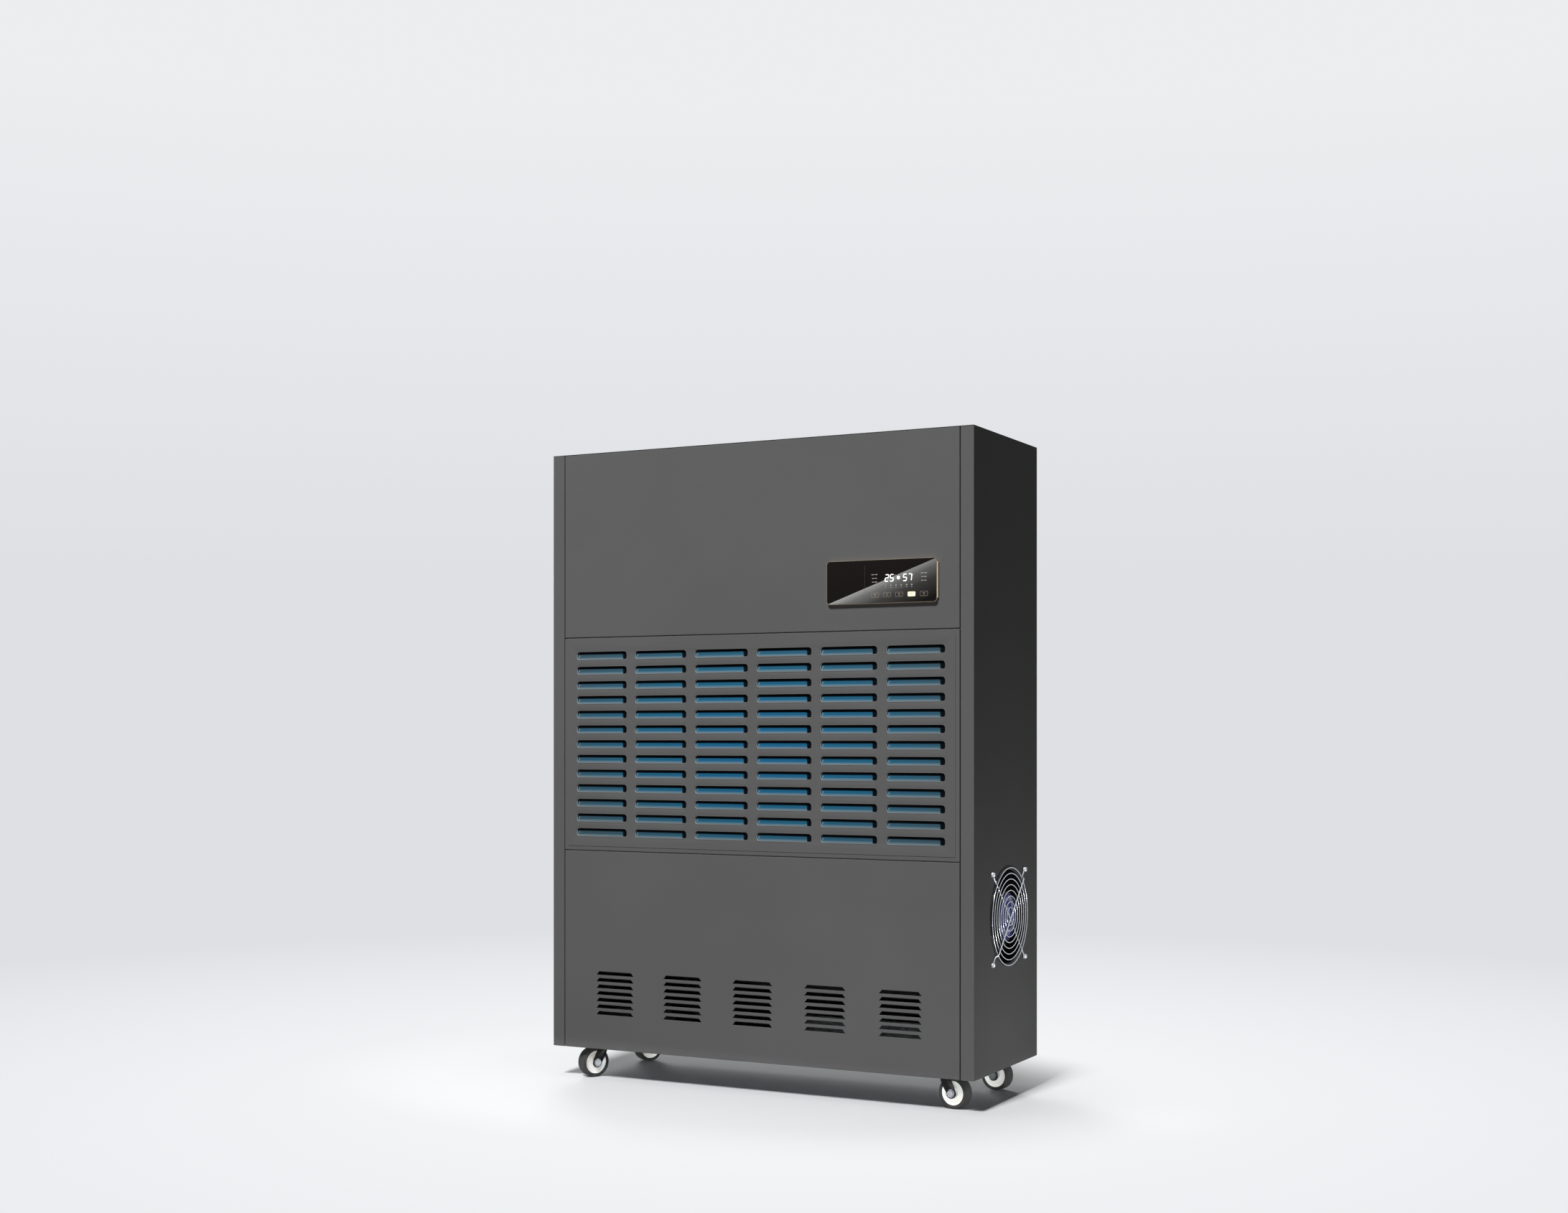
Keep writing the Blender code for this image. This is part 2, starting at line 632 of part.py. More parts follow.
def guard_ring(radius, sides):
    """Points of a ring about the fan axis."""
    plane = HALF_WIDTH + FIT + GUARD_WIRE + GUARD_STANDOFF
    return [(plane, FAN_Y + y, FAN_Z + z) for y, z in arc((0, 0), radius, 0, 360, sides)[:-1]]


def build_guard():
    """Wire guard: concentric rings on two cross wires with stepped ends."""
    outer = FAN_DIAMETER / 2 - GUARD_WIRE
    guard = None
    for ring in range(GUARD_RINGS):
        radius = outer - ring * GUARD_RING_PITCH
        sides = 2 * round(4 + 5 * radius / outer)
        mesh = tube("side_fan_guard", guard_ring(radius, sides), GUARD_WIRE, ZINC, closed=True, sides=0)
        if guard is None:
            guard = add_mesh("side_fan_guard", mesh, None)
        else:
            join(guard, form_of(mesh))
    low = HALF_WIDTH + FIT + GUARD_WIRE
    high = low + GUARD_STANDOFF + GUARD_WIRE * 1.2
    for turn in (45, 135):
        across = Vector((0.0, math.cos(math.radians(turn)), math.sin(math.radians(turn))))
        middle = Vector((0.0, FAN_Y, FAN_Z))
        line = []
        for reach, lift in ((-GUARD_EAR_RADIUS, low), (-outer - 0.010, low), (-outer - 0.002, high),
                            (outer + 0.002, high), (outer + 0.010, low), (GUARD_EAR_RADIUS, low)):
            line.append(middle + across * reach + Vector((lift, 0.0, 0.0)))
        join(guard, form_of(tube("guard_wire", line, GUARD_WIRE * 1.15, ZINC, sides=0)))


def build_side_fan():
    """Venturi frame with motor, and the impeller on its shaft."""
    face = HALF_WIDTH - SHEET - FIT
    half = FAN_DIAMETER / 2
    deep = face - FAN_FRAME_DEPTH
    frame = box("side_fan_frame", (deep, FAN_Y - half, FAN_Z - half), (face, FAN_Y + half, FAN_Z + half),
                BLACK_PLASTIC)
    bore = FAN_HOLE_DIAMETER / 2 - 0.001
    cut(frame, rod_form((deep + 0.008, FAN_Y, FAN_Z), (face + 0.01, FAN_Y, FAN_Z), bore, 28))
    windows = bmesh.new()
    for quarter in range(4):
        outline = (arc((0, 0), bore - 0.004, 8 + 90 * quarter, 82 + 90 * quarter, 6)
                   + arc((0, 0), FAN_HUB_RADIUS - 0.006, 76 + 90 * quarter, 14 + 90 * quarter, 3))
        place = Matrix.Translation((deep, FAN_Y, FAN_Z)) @ ALONG_X
        windows.from_mesh(outline_mesh("fan_window", [outline], 0.040, place, None))
    cut(frame, windows)
    shaft_end = face - FAN_SHAFT_END
    join(frame, rod_form((deep + 0.004, FAN_Y, FAN_Z), (shaft_end, FAN_Y, FAN_Z), FAN_SHAFT_RADIUS, 12))
    pivot = bpy.data.objects.new("side_fan_axis", None)
    PARTS.objects.link(pivot)
    pivot.location = (face - FAN_AXIS_DEPTH, FAN_Y, FAN_Z)
    nose = FAN_AXIS_DEPTH - FAN_HUB_SETBACK
    profile = [(0.0, nose), (FAN_HUB_RADIUS - FAN_HUB_EDGE, nose), (FAN_HUB_RADIUS, nose - FAN_HUB_EDGE),
               (FAN_HUB_RADIUS, -FAN_HUB_BACK), (0.0, -FAN_HUB_BACK)]
    hub = turned("side_fan_rotor", profile, 20, BLACK_PLASTIC)
    hub.transform(ALONG_X)
    rotor = add_mesh("side_fan_rotor", hub, None)
    rotor.parent = pivot
    blades = bmesh.new()
    for blade in range(FAN_BLADES):
        grid = bmesh.new()
        bmesh.ops.create_grid(grid, x_segments=2, y_segments=2, size=0.5)
        for corner in grid.verts:
            radius = FAN_HUB_RADIUS - 0.004 + (corner.co.x + 0.5) * (bore - 0.003 - FAN_HUB_RADIUS)
            angle = math.tau * blade / FAN_BLADES + corner.co.y * 0.72 + 0.25 * (corner.co.x + 0.5)
            corner.co = (corner.co.y * 0.036 - 0.003, radius * math.cos(angle), radius * math.sin(angle))
        sheet = add_bmesh("blade", grid, None, CUTTERS)
        thick = sheet.modifiers.new("thick", "SOLIDIFY")
        thick.thickness = 0.002
        thick.offset = 0.0
        blades.from_mesh(baked(sheet, BLACK_PLASTIC))
    tool = add_bmesh("fan_blades", blades, None, CUTTERS)
    tool.parent = pivot
    boolean(rotor, tool, "UNION")
    socket = FAN_AXIS_DEPTH - FAN_SHAFT_END + 2 * RUNNING_FIT
    shaft = rod_form((-0.04, 0, 0), (socket, 0, 0), bore_radius(FAN_SHAFT_RADIUS + RUNNING_FIT, 12), 12)
    hole = add_bmesh("fan_bore", shaft, None, CUTTERS)
    hole.parent = pivot
    boolean(rotor, hole, "DIFFERENCE")


def caster_meshes():
    """Plate, fork, axle, hub and tyre of one caster about its kingpin, wheel trailing to +X."""
    top = CASTER_HEIGHT
    crown_top = top - 0.0160
    crown_low = crown_top - FORK_SHEET
    plate = box("caster_plate", (-CASTER_PLATE_X / 2, -CASTER_PLATE_Y / 2, top - 0.0035),
                (CASTER_PLATE_X / 2, CASTER_PLATE_Y / 2, top), None)
    pin = [(0.0, top - 0.001), (0.021, top - 0.001), (0.021, crown_top + FIT),
           (KINGPIN_RADIUS, crown_top + FIT), (KINGPIN_RADIUS, crown_low - FIT), (0.009, crown_low - FIT),
           (0.009, crown_low - 0.005), (0.0, crown_low - 0.005)]
    join(plate, form_of(turned("kingpin", pin, 10, None)))
    leg_low = WHEEL_WIDTH / 2 + 0.0015
    leg_high = leg_low + FORK_SHEET
    ledge = leg_high + 0.0008
    fork = box("caster_fork", (-0.024, -ledge, crown_low), (0.030, ledge, crown_top), None)
    leg = ([(-0.022, crown_top - 0.0006), (-0.022, crown_top - 0.010)]
           + arc((CASTER_TRAIL, WHEEL_RADIUS), 0.0135, 190, 380, 4) + [(0.034, crown_top - 0.0006)])
    for side in (-1, 1):
        place = Matrix.Translation((0.0, side * (leg_low + leg_high) / 2, 0.0)) @ FACE_FRONT
        join(fork, form_of(outline_mesh("fork_leg", [leg], FORK_SHEET, place, None)))
    centre = Vector((CASTER_TRAIL, 0.0, WHEEL_RADIUS))
    across = Vector((0.0, 1.0, 0.0))
    pin_hole = bore_radius(KINGPIN_RADIUS + RUNNING_FIT, 10)
    holes = rod_form((0, 0, crown_low - 0.01), (0, 0, crown_top + 0.01), pin_hole, 10)
    rod_form(centre - across * 0.05, centre + across * 0.05, bore_radius(AXLE_RADIUS + FIT, 10), 10, holes)
    cut(fork, holes)
    tip = leg_high + FIT
    bar = across * (tip + 0.003)
    axle = add_bmesh("caster_axle", rod_form(centre - bar, centre + bar, AXLE_RADIUS, 10), None)
    for side in (-1, 1):
        head = centre + across * side * tip
        join(axle, rod_form(head, head + across * side * 0.0065, 0.0098, 6))
    bore = bore_radius(AXLE_RADIUS + RUNNING_FIT, 10)
    rim = WHEEL_RADIUS - TYRE_THICKNESS
    half = WHEEL_WIDTH / 2
    profile = [(bore, half), (0.0125, half), (0.0145, half - 0.006), (rim, half - 0.004)]
    profile += [(radius, -height) for radius, height in reversed(profile)]
    hub = turned("caster_hub", profile, 10, WHITE_NYLON, closed=True)
    ring = [(rim + FIT, half - 0.002), (WHEEL_RADIUS - 0.004, half), (WHEEL_RADIUS, half - 0.006)]
    ring += [(radius, -height) for radius, height in reversed(ring)]
    tyre = turned("caster_tyre", ring, 20, TYRE_RUBBER, closed=True)
    for mesh in (hub, tyre):
        mesh.transform(Matrix.Rotation(math.pi / 2, 4, "X"))
    return {"plate": baked(plate, ZINC), "fork": baked(fork, BLACK_ENAMEL), "axle": baked(axle, ZINC),
            "hub": hub, "tyre": tyre}


def build_casters():
    """Four casters, each turned about its kingpin."""
    meshes = caster_meshes()
    for corner, swivel in CASTER_SWIVEL_DEG.items():
        x = (HALF_WIDTH - CASTER_INSET_X) * (1 if "right" in corner else -1)
        y = (BACK - CASTER_INSET_Y) * (1 if "rear" in corner else -1)
        turn = bpy.data.objects.new(corner + "_swivel", None)
        PARTS.objects.link(turn)
        turn.location = (x, y, 0.0)
        turn.rotation_euler = (0.0, 0.0, math.radians(swivel))
        roll = bpy.data.objects.new(corner + "_roll", None)
        PARTS.objects.link(roll)
        roll.parent = turn
        roll.location = (CASTER_TRAIL, 0.0, WHEEL_RADIUS)
        for piece, mesh in meshes.items():
            made = add_mesh(f"{corner}_caster_{piece}", mesh, None)
            if piece == "plate":
                made.location = (x, y, 0.0)
            else:
                made.parent = roll if piece in ("hub", "tyre") else turn


def coil_limits():
    """Left and right end of the coils, and their lower and upper level."""
    low = COIL_DECK_Z + 2 * FIT + SHEET
    return (-INNER_X + COIL_SIDE_ROOM, INNER_X - 0.030, low, BLOWER_DECK_Z - DECK_FLANGE - FIT)


def coil(name, front, depth, stubs):
    """A fin block between two end plates, return bends and pipe stubs at the left."""
    left, right, low, high = coil_limits()
    made = box(name, (left, front + 0.004, low + 0.016), (right, front + depth - 0.004, high - 0.012),
               ALUMINIUM)
    for x in (left, right):
        join(made, box_form((x - 0.001, front, low), (x + 0.001, front + depth, high)))
    middle = front + depth / 2
    pitch = (high - low - 0.080) / COIL_BENDS
    pipes = bmesh.new()
    for bend in range(COIL_BENDS):
        base = low + 0.050 + bend * pitch
        line = [(left + 0.004, middle + 0.012, base)]
        for across, out in arc((0, 0), 1.0, 180, 0, 3):
            line.append((left - 0.010 - 0.012 * out, middle + 0.012, base + pitch * 0.22 * (1 + across)))
        line.append((left + 0.004, middle + 0.012, base + pitch * 0.44))
        pipes.from_mesh(tube("return_bend", line, 0.0045, COPPER, sides=0))
    for level in stubs:
        stub = Vector((left, middle - 0.014, level))
        rod_form(stub + Vector((0.005, 0, 0)), stub - Vector((0.030, 0, 0)), PIPE_RADIUS, 8, pipes)
    join(made, pipes)
    return Vector((left - 0.030, middle - 0.014, 0.0))


def build_coils():
    """Coil deck, condensate tray, evaporator, condenser and the lines between them."""
    left, right, low, high = coil_limits()
    lower_stub = low + 0.110
    upper_stub = high - 0.080
    deck_front = RAIL_BACK + FIT
    deck = shell_box("coil_deck", (-INNER_X, deck_front, COIL_DECK_Z - DECK_FLANGE),
                     (INNER_X, INNER_BACK, COIL_DECK_Z), [(0, 0, -1)], SHEET, GALVANISED)
    front = FRONT + COIL_FROM_FRONT
    second = front + EVAPORATOR_DEPTH + COIL_SPACING
    back = second + CONDENSER_DEPTH
    tray = shell_box("condensate_tray", (left - 0.012, front - 0.006, COIL_DECK_Z + FIT),
                     (right + 0.012, back + 0.012, COIL_DECK_Z + FIT + TRAY_HEIGHT), [(0, 0, 1)], SHEET,
                     GALVANISED)
    drain = Vector((right - 0.060, back - 0.002, COIL_DECK_Z))
    nozzle = COIL_DECK_Z - 0.030
    join(tray, rod_form((drain.x, drain.y, COIL_DECK_Z + FIT + SHEET / 2), (drain.x, drain.y, nozzle),
                        DRAIN_RADIUS, 14))
    evaporator = coil("evaporator_coil", front, EVAPORATOR_DEPTH, (lower_stub, upper_stub))
    condenser = coil("condenser_coil", second, CONDENSER_DEPTH, (lower_stub, upper_stub))

    holes = rod_form((drain.x, drain.y, COIL_DECK_Z - 0.05), (drain.x, drain.y, COIL_DECK_Z + 0.05),
                     DRAIN_RADIUS + 0.002, 14)
    spot = compressor_spot()
    for x, y in ((spot.x, spot.y + 0.010), (PIPE_RUN_X, evaporator.y)):
        rod_form((x, y, COIL_DECK_Z - 0.05), (x, y, COIL_DECK_Z + 0.05), PIPE_RADIUS + 0.010, 14, holes)
    cut(deck, holes)
    build_hot_side(condenser, back, lower_stub, upper_stub)
    build_cold_side(evaporator, condenser, back, lower_stub, upper_stub)
    build_drain(Vector((drain.x, drain.y, nozzle)))


def add_pipe(name, points, radius, look, sides):
    """A soft pipe or hose through points as an object."""
    add_mesh(name, tube(name, smooth_route(points, 2), radius, look, sides=sides), None)


def build_hot_side(condenser, back, lower_stub, upper_stub):
    """Discharge pipe from the compressor to the condenser, and the liquid pipe to the drier."""
    spot = compressor_spot()
    points = [(spot.x, spot.y, spot.z + FIT),
              (spot.x, spot.y, spot.z + 0.040),
              (spot.x, spot.y + 0.010, COIL_DECK_Z),
              (spot.x - 0.010, back + 0.060, COIL_DECK_Z + 0.100),
              (spot.x - 0.060, back + 0.070, upper_stub - 0.100),
              (PIPE_RUN_X + 0.040, back + 0.060, upper_stub),
              (PIPE_RUN_X + 0.002, condenser.y + 0.030, upper_stub),
              (PIPE_RUN_X + 0.006, condenser.y + 0.004, upper_stub),
              (condenser.x - 0.008, condenser.y, upper_stub),
              (condenser.x - FIT, condenser.y, upper_stub)]
    add_pipe("discharge_pipe", points, PIPE_RADIUS, COPPER, 1)
    drier = drier_spot(back)
    points = [(condenser.x - FIT, condenser.y, lower_stub),
              (condenser.x - 0.010, condenser.y, lower_stub),
              (PIPE_RUN_X + 0.004, condenser.y + 0.012, lower_stub - 0.005),
              (PIPE_RUN_X + 0.004, condenser.y + 0.040, (lower_stub + drier.z) / 2 - 0.020),
              (PIPE_RUN_X + 0.008, drier.y - 0.026, drier.z - 0.026),
              (drier.x, drier.y, drier.z - 0.020),
              (drier.x, drier.y, drier.z - FIT)]
    add_pipe("liquid_pipe", points, PIPE_RADIUS * 0.8, COPPER, 1)


def drier_spot(back):
    """Lower end of the filter drier."""
    return Vector((PIPE_RUN_X + 0.012, back + 0.055, COIL_DECK_Z + DRIER_ABOVE_DECK))


def build_cold_side(evaporator, condenser, back, lower_stub, upper_stub):
    """Filter drier, capillary tube to the evaporator and suction pipe to the accumulator."""
    drier = drier_spot(back)
    neck = 0.006
    cone = 0.014
    shape = [(0.0, DRIER_LENGTH), (neck, DRIER_LENGTH), (DRIER_RADIUS, DRIER_LENGTH - cone),
             (DRIER_RADIUS, cone), (neck, 0.0), (0.0, 0.0)]
    body = turned("filter_drier", shape, 14, COPPER)
    body.transform(Matrix.Translation(drier))
    add_mesh("filter_drier", body, None)
    upper = drier.z + DRIER_LENGTH
    middle = (upper + upper_stub) / 2
    points = [(drier.x, drier.y, upper + FIT),
              (drier.x, drier.y, upper + 0.020),
              (drier.x - 0.004, drier.y - 0.020, middle - 0.010),
              (PIPE_RUN_X, condenser.y - 0.010, middle),
              (PIPE_RUN_X, evaporator.y + 0.020, upper_stub - 0.010),
              (PIPE_RUN_X + 0.004, evaporator.y + 0.002, upper_stub),
              (evaporator.x - FIT, evaporator.y, upper_stub)]
    add_pipe("capillary_tube", points, 0.003, COPPER, 0)
    store = accumulator_spot()
    points = [(evaporator.x - FIT, evaporator.y, lower_stub),
              (evaporator.x - 0.010, evaporator.y, lower_stub),
              (PIPE_RUN_X, evaporator.y, lower_stub - 0.030),
              (PIPE_RUN_X, evaporator.y, COIL_DECK_Z + 0.010),
              (PIPE_RUN_X, evaporator.y + 0.004, COIL_DECK_Z - 0.030),
              (PIPE_RUN_X + 0.030, evaporator.y + 0.060, store.z + 0.120),
              (store.x - 0.010, store.y - 0.006, store.z + 0.070),
              (store.x, store.y, store.z + 0.030),
              (store.x, store.y, store.z + FIT)]
    add_pipe("suction_pipe", points, PIPE_RADIUS, COPPER, 1)


def build_drain(nozzle):
    """Hose from the condensate tray's nozzle to the spigot in the rear panel."""
    end = drain_point()
    points = [(nozzle.x, nozzle.y, nozzle.z - FIT),
              (nozzle.x, nozzle.y, nozzle.z - 0.050),
              (nozzle.x - 0.020, nozzle.y + 0.030, (nozzle.z + end.z) / 2 + 0.060),
              (end.x, end.y - 0.100, end.z + 0.050),
              (end.x, end.y - 0.060, end.z),
              (end.x, end.y - 0.030 - FIT, end.z)]
    add_pipe("drain_hose", points, DRAIN_RADIUS, BLACK_PLASTIC, 1)


def compressor_spot():
    """Top of the compressor's discharge stub."""
    height = BASE_Z + SHEET + FIT + 0.026 + COMPRESSOR_HEIGHT + 0.020
    return Vector((-INNER_X + COMPRESSOR_FROM_LEFT, 0.020, height))


def accumulator_spot():
    """Top of the accumulator's inlet stub."""
    shell = compressor_spot()
    offset = COMPRESSOR_RADIUS + ACCUMULATOR_RADIUS + 0.004
    return Vector((shell.x - offset, shell.y, BASE_Z + 0.090 + ACCUMULATOR_HEIGHT + 0.018))


def build_compressor():
    """Hermetic compressor on rubber-footed feet, with its accumulator strapped on."""
    spot = compressor_spot()
    seat = BASE_Z + SHEET + FIT
    radius = COMPRESSOR_RADIUS
    top = COMPRESSOR_HEIGHT
    profile = [(0.0, top + 0.020), (0.008, top + 0.020), (0.008, top - 0.004), (radius * 0.55, top - 0.010),
               (radius * 0.92, top - 0.034), (radius, top - 0.060), (radius, 0.040), (radius * 0.85, 0.012),
               (0.0, 0.0)]
    shell = turned("compressor", profile, 12, BLACK_ENAMEL)
    shell.transform(Matrix.Translation((spot.x, spot.y, seat + 0.026)))
    made = add_mesh("compressor", shell, None)
    half = radius + 0.018
    join(made, box_form((spot.x - half, spot.y - half, seat + 0.020),
                        (spot.x + half, spot.y + half, seat + 0.032)))
    feet = bmesh.new()
    for x in (-1, 1):
        for y in (-1, 1):
            foot = (spot.x + x * (half - 0.018), spot.y + y * (half - 0.018))
            rod_form((*foot, seat), (*foot, seat + 0.024), 0.015, 8, feet)
    join(made, feet)
    store = accumulator_spot()
    low = BASE_Z + 0.090
    radius = ACCUMULATOR_RADIUS
    top = ACCUMULATOR_HEIGHT
    profile = [(0.0, top + 0.018), (0.008, top + 0.018), (0.008, top - 0.002), (radius, top - 0.022),
               (radius, 0.022), (0.010, 0.0), (0.0, 0.0)]
    can = turned("suction_accumulator", profile, 12, BLACK_ENAMEL)
    can.transform(Matrix.Translation((store.x, store.y, low)))
    can_object = add_mesh("suction_accumulator", can, None)
    join(can_object, box_form((store.x + radius - 0.006, store.y - 0.015, low + 0.100),
                              (store.x + radius + 0.0037, store.y + 0.015, low + 0.125)))


def blower_centre():
    """Axis of the blower in depth and height, and the largest scroll radius."""
    reach = BLOWER_WHEEL_RADIUS + 0.055
    y = INNER_BACK - BLOWER_BACK_ROOM - reach
    z = BLOWER_DECK_Z + FIT + BLOWER_WHEEL_RADIUS + 0.011 + 0.044 * 180 / 270 + 0.002
    return y, z, reach


def outlet_frame():
    """Corners of the air outlet in the top panel."""
    y, _, reach = blower_centre()
    edge = 0.012
    return ((-BLOWER_WIDTH / 2 - edge, y - edge), (BLOWER_WIDTH / 2 + edge, y + reach + edge))


def scroll(radius, end, top, inset):
    """Outline of the scroll in depth and height about its axis, with the duct going up."""
    points = []
    for step in range(13):
        turn = math.radians(22.5 * step)
        spread = radius + (end - radius) * step / 12 - inset
        points.append((-spread * math.sin(turn), spread * math.cos(turn)))
    points[0] = (inset, radius - inset)
    return points + [(end - inset, top), (inset, top)]


def build_blower():
    """Scroll housing, wheel and fixed axle, the outlet grille and the blower deck."""
    y, z, reach = blower_centre()
    top = BODY_HIGH - OUTLET_DEPTH - 2 * FIT - z
    start = BLOWER_WHEEL_RADIUS + 0.011
    place = Matrix.Translation((0.0, y, z)) @ ALONG_X
    mesh = outline_mesh("blower_housing", [scroll(start, reach, top, 0.0)], BLOWER_WIDTH, place, GALVANISED)
    housing = add_mesh("blower_housing", mesh, None)
    inner = scroll(start, reach, top + 0.02, SHEET)
    cut(housing, form_of(outline_mesh("scroll_room", [inner], BLOWER_WIDTH - 2 * SHEET, place, None)))
    cut(housing, rod_form((-BLOWER_WIDTH, y, z), (BLOWER_WIDTH, y, z), BLOWER_WHEEL_RADIUS - 0.016, 18))

    side = BLOWER_WIDTH / 2 + FIT
    axle = add_bmesh("blower_axle", rod_form((-side - 0.012, y, z), (side + 0.012, y, z), 0.008, 12), ZINC)
    for way in (-1, 1):
        bar = [way * side, way * (side + 0.004)]
        join(axle, box_form((min(bar), y - 0.013, z - BLOWER_WHEEL_RADIUS - 0.004),
                            (max(bar), y + 0.013, z + BLOWER_WHEEL_RADIUS + 0.004)))

    pivot = bpy.data.objects.new("blower_axis", None)
    PARTS.objects.link(pivot)
    pivot.location = (0.0, y, z)
    half = BLOWER_WIDTH / 2 - 0.012
    bore = bore_radius(0.008 + RUNNING_FIT, BLOWER_BLADES)
    profile = [(bore, 0.045), (0.050, 0.045), (0.055, 0.036), (0.055, 0.002),
               (BLOWER_WHEEL_RADIUS - 0.004, 0.002)]
    profile += [(radius, -height) for radius, height in reversed(profile)]
    hub = turned("blower_wheel", profile, BLOWER_BLADES, GALVANISED, closed=True)
    hub.transform(ALONG_X)
    wheel = add_mesh("blower_wheel", hub, None)
    wheel.parent = pivot
    tools = []
    for way in (-1, 1):
        hoop = [(BLOWER_WHEEL_RADIUS - 0.020, half), (BLOWER_WHEEL_RADIUS, half),
                (BLOWER_WHEEL_RADIUS, half - 0.003), (BLOWER_WHEEL_RADIUS - 0.020, half - 0.003)]
        hoop = [(radius, way * height) for radius, height in hoop]
        ring = turned("end_ring", hoop, BLOWER_BLADES, None, closed=True)
        ring.transform(ALONG_X)
        tools.append(form_of(ring))
    blades = bmesh.new()
    for blade in range(BLOWER_BLADES):
        lay = (Matrix.Rotation(math.tau * (blade + 0.5) / BLOWER_BLADES, 4, "X")
               @ Matrix.Translation((0.0, 0.0, BLOWER_WHEEL_RADIUS - 0.012)) @ Matrix.Rotation(0.6, 4, "X")
               @ Matrix.Diagonal((2 * half - 0.003, 0.0015, 0.014, 1.0)))
        bmesh.ops.create_cube(blades, size=1.0, matrix=lay)
    tools.append(blades)
    for form in tools:
        tool = add_bmesh("wheel_piece", form, None, CUTTERS)
        tool.parent = pivot
        boolean(wheel, tool, "UNION")

    deck = shell_box("blower_deck", (-INNER_X, INNER_FRONT, BLOWER_DECK_Z - DECK_FLANGE),
                     (INNER_X, INNER_BACK, BLOWER_DECK_Z), [(0, 0, -1)], SHEET, GALVANISED)
    vent_front = FRONT + COIL_FROM_FRONT + EVAPORATOR_DEPTH + COIL_SPACING + CONDENSER_DEPTH + 0.020
    vents = bmesh.new()
    for way in (-1, 1):
        ends = sorted((way * (BLOWER_WIDTH / 2 + 0.050), way * (INNER_X - 0.080)))
        box_form((ends[0], vent_front, BLOWER_DECK_Z - 0.02),
                 (ends[1], INNER_BACK - 0.030, BLOWER_DECK_Z + 0.02), vents)
    cut(deck, vents)

    low, high = outlet_frame()
    grille = box("outlet_grille", (*low, BODY_HIGH - OUTLET_DEPTH - FIT), (*high, BODY_HIGH - FIT),
                 BLACK_PLASTIC)
    rim = 0.011
    cut(grille, box_form((low[0] + rim, low[1] + rim, BODY_HIGH - 0.1),
                         (high[0] - rim, high[1] - rim, BODY_HIGH + 0.1)))
    vanes = bmesh.new()
    count = int((high[1] - low[1] - 2 * rim) / 0.027)
    for vane in range(count):
        spot = low[1] + rim + (vane + 0.5) * (high[1] - low[1] - 2 * rim) / count
        lay = (Matrix.Translation(((low[0] + high[0]) / 2, spot, BODY_HIGH - FIT - OUTLET_DEPTH / 2))
               @ Matrix.Rotation(math.radians(35), 4, "X")
               @ Matrix.Diagonal((high[0] - low[0] - rim, 0.002, OUTLET_DEPTH * 0.8, 1.0)))
        bmesh.ops.create_cube(vanes, size=1.0, matrix=lay)
    for x in (-0.5, 0.5):
        middle = x * BLOWER_WIDTH / 2
        box_form((middle - 0.002, low[1] + rim / 2, BODY_HIGH - OUTLET_DEPTH),
                 (middle + 0.002, high[1] - rim / 2, BODY_HIGH - OUTLET_DEPTH * 0.55), vanes)
    tool = add_bmesh("outlet_vanes", vanes, None, CUTTERS)
    step = boolean(grille, tool, "UNION").modifiers[-1]
    step.use_self = True


def build_services():
    """Electrical box on the blower deck, drain spigot and mains gland in the rear panel."""
    width, depth, height = ELECTRIC_BOX
    right = INNER_X - 0.050
    low = BLOWER_DECK_Z + FIT
    front = RAIL_BACK + FIT + ELECTRIC_LID
    case = box("electrical_box", (right - width, front, low), (right, front + depth, low + height),
               GREY_PAINT)
    join(case, box_form((right - width - 0.003, front - ELECTRIC_LID, low + 0.006),
                        (right + 0.003, front + 0.012, low + height + 0.003)))
    x, _, z = drain_point()
    outer = DRAIN_RADIUS + 0.0035
    profile = [(outer - 0.004, 0.018), (outer - 0.001, 0.018), (outer, 0.016), (outer, FIT + 0.005),
               (0.019, FIT + 0.005), (0.019, FIT), (outer, FIT), (outer, -SHEET - FIT),
               (DRAIN_RADIUS, -0.010), (DRAIN_RADIUS, -0.030), (outer - 0.0045, -0.030)]
    spigot = turned("drain_spigot", profile, 8, BRASS, closed=True)
    spigot.transform(Matrix.Translation((x, BACK, z)) @ Matrix.Rotation(-math.pi / 2, 4, "X"))
    add_mesh("drain_spigot", spigot, None)
    x, _, z = gland_point()
    profile = [(0.0052, 0.016), (0.008, 0.016), (0.013, 0.008), (0.013, FIT), (0.0098, FIT), (0.0098, -0.012),
               (0.0052, -0.012)]
    gland = turned("mains_gland", profile, 10, BLACK_PLASTIC, closed=True)
    gland.transform(Matrix.Translation((x, BACK, z)) @ Matrix.Rotation(-math.pi / 2, 4, "X"))
    add_mesh("mains_gland", gland, None)


build_walls()
build_front()
build_control()
build_side_fan()
build_guard()
build_casters()
build_compressor()
build_coils()
build_blower()
build_services()
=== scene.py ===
"""Looks of a commercial floor dehumidifier: finishes, refined pieces, camera and studio.

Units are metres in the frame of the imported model: +Z is up and the front faces -Y.
"""

import json
import logging
import math
from collections.abc import Iterable, Sequence
from dataclasses import dataclass
from enum import Enum
from functools import partial
from typing import Any

import bmesh
import bpy
from mathutils import Matrix, Vector


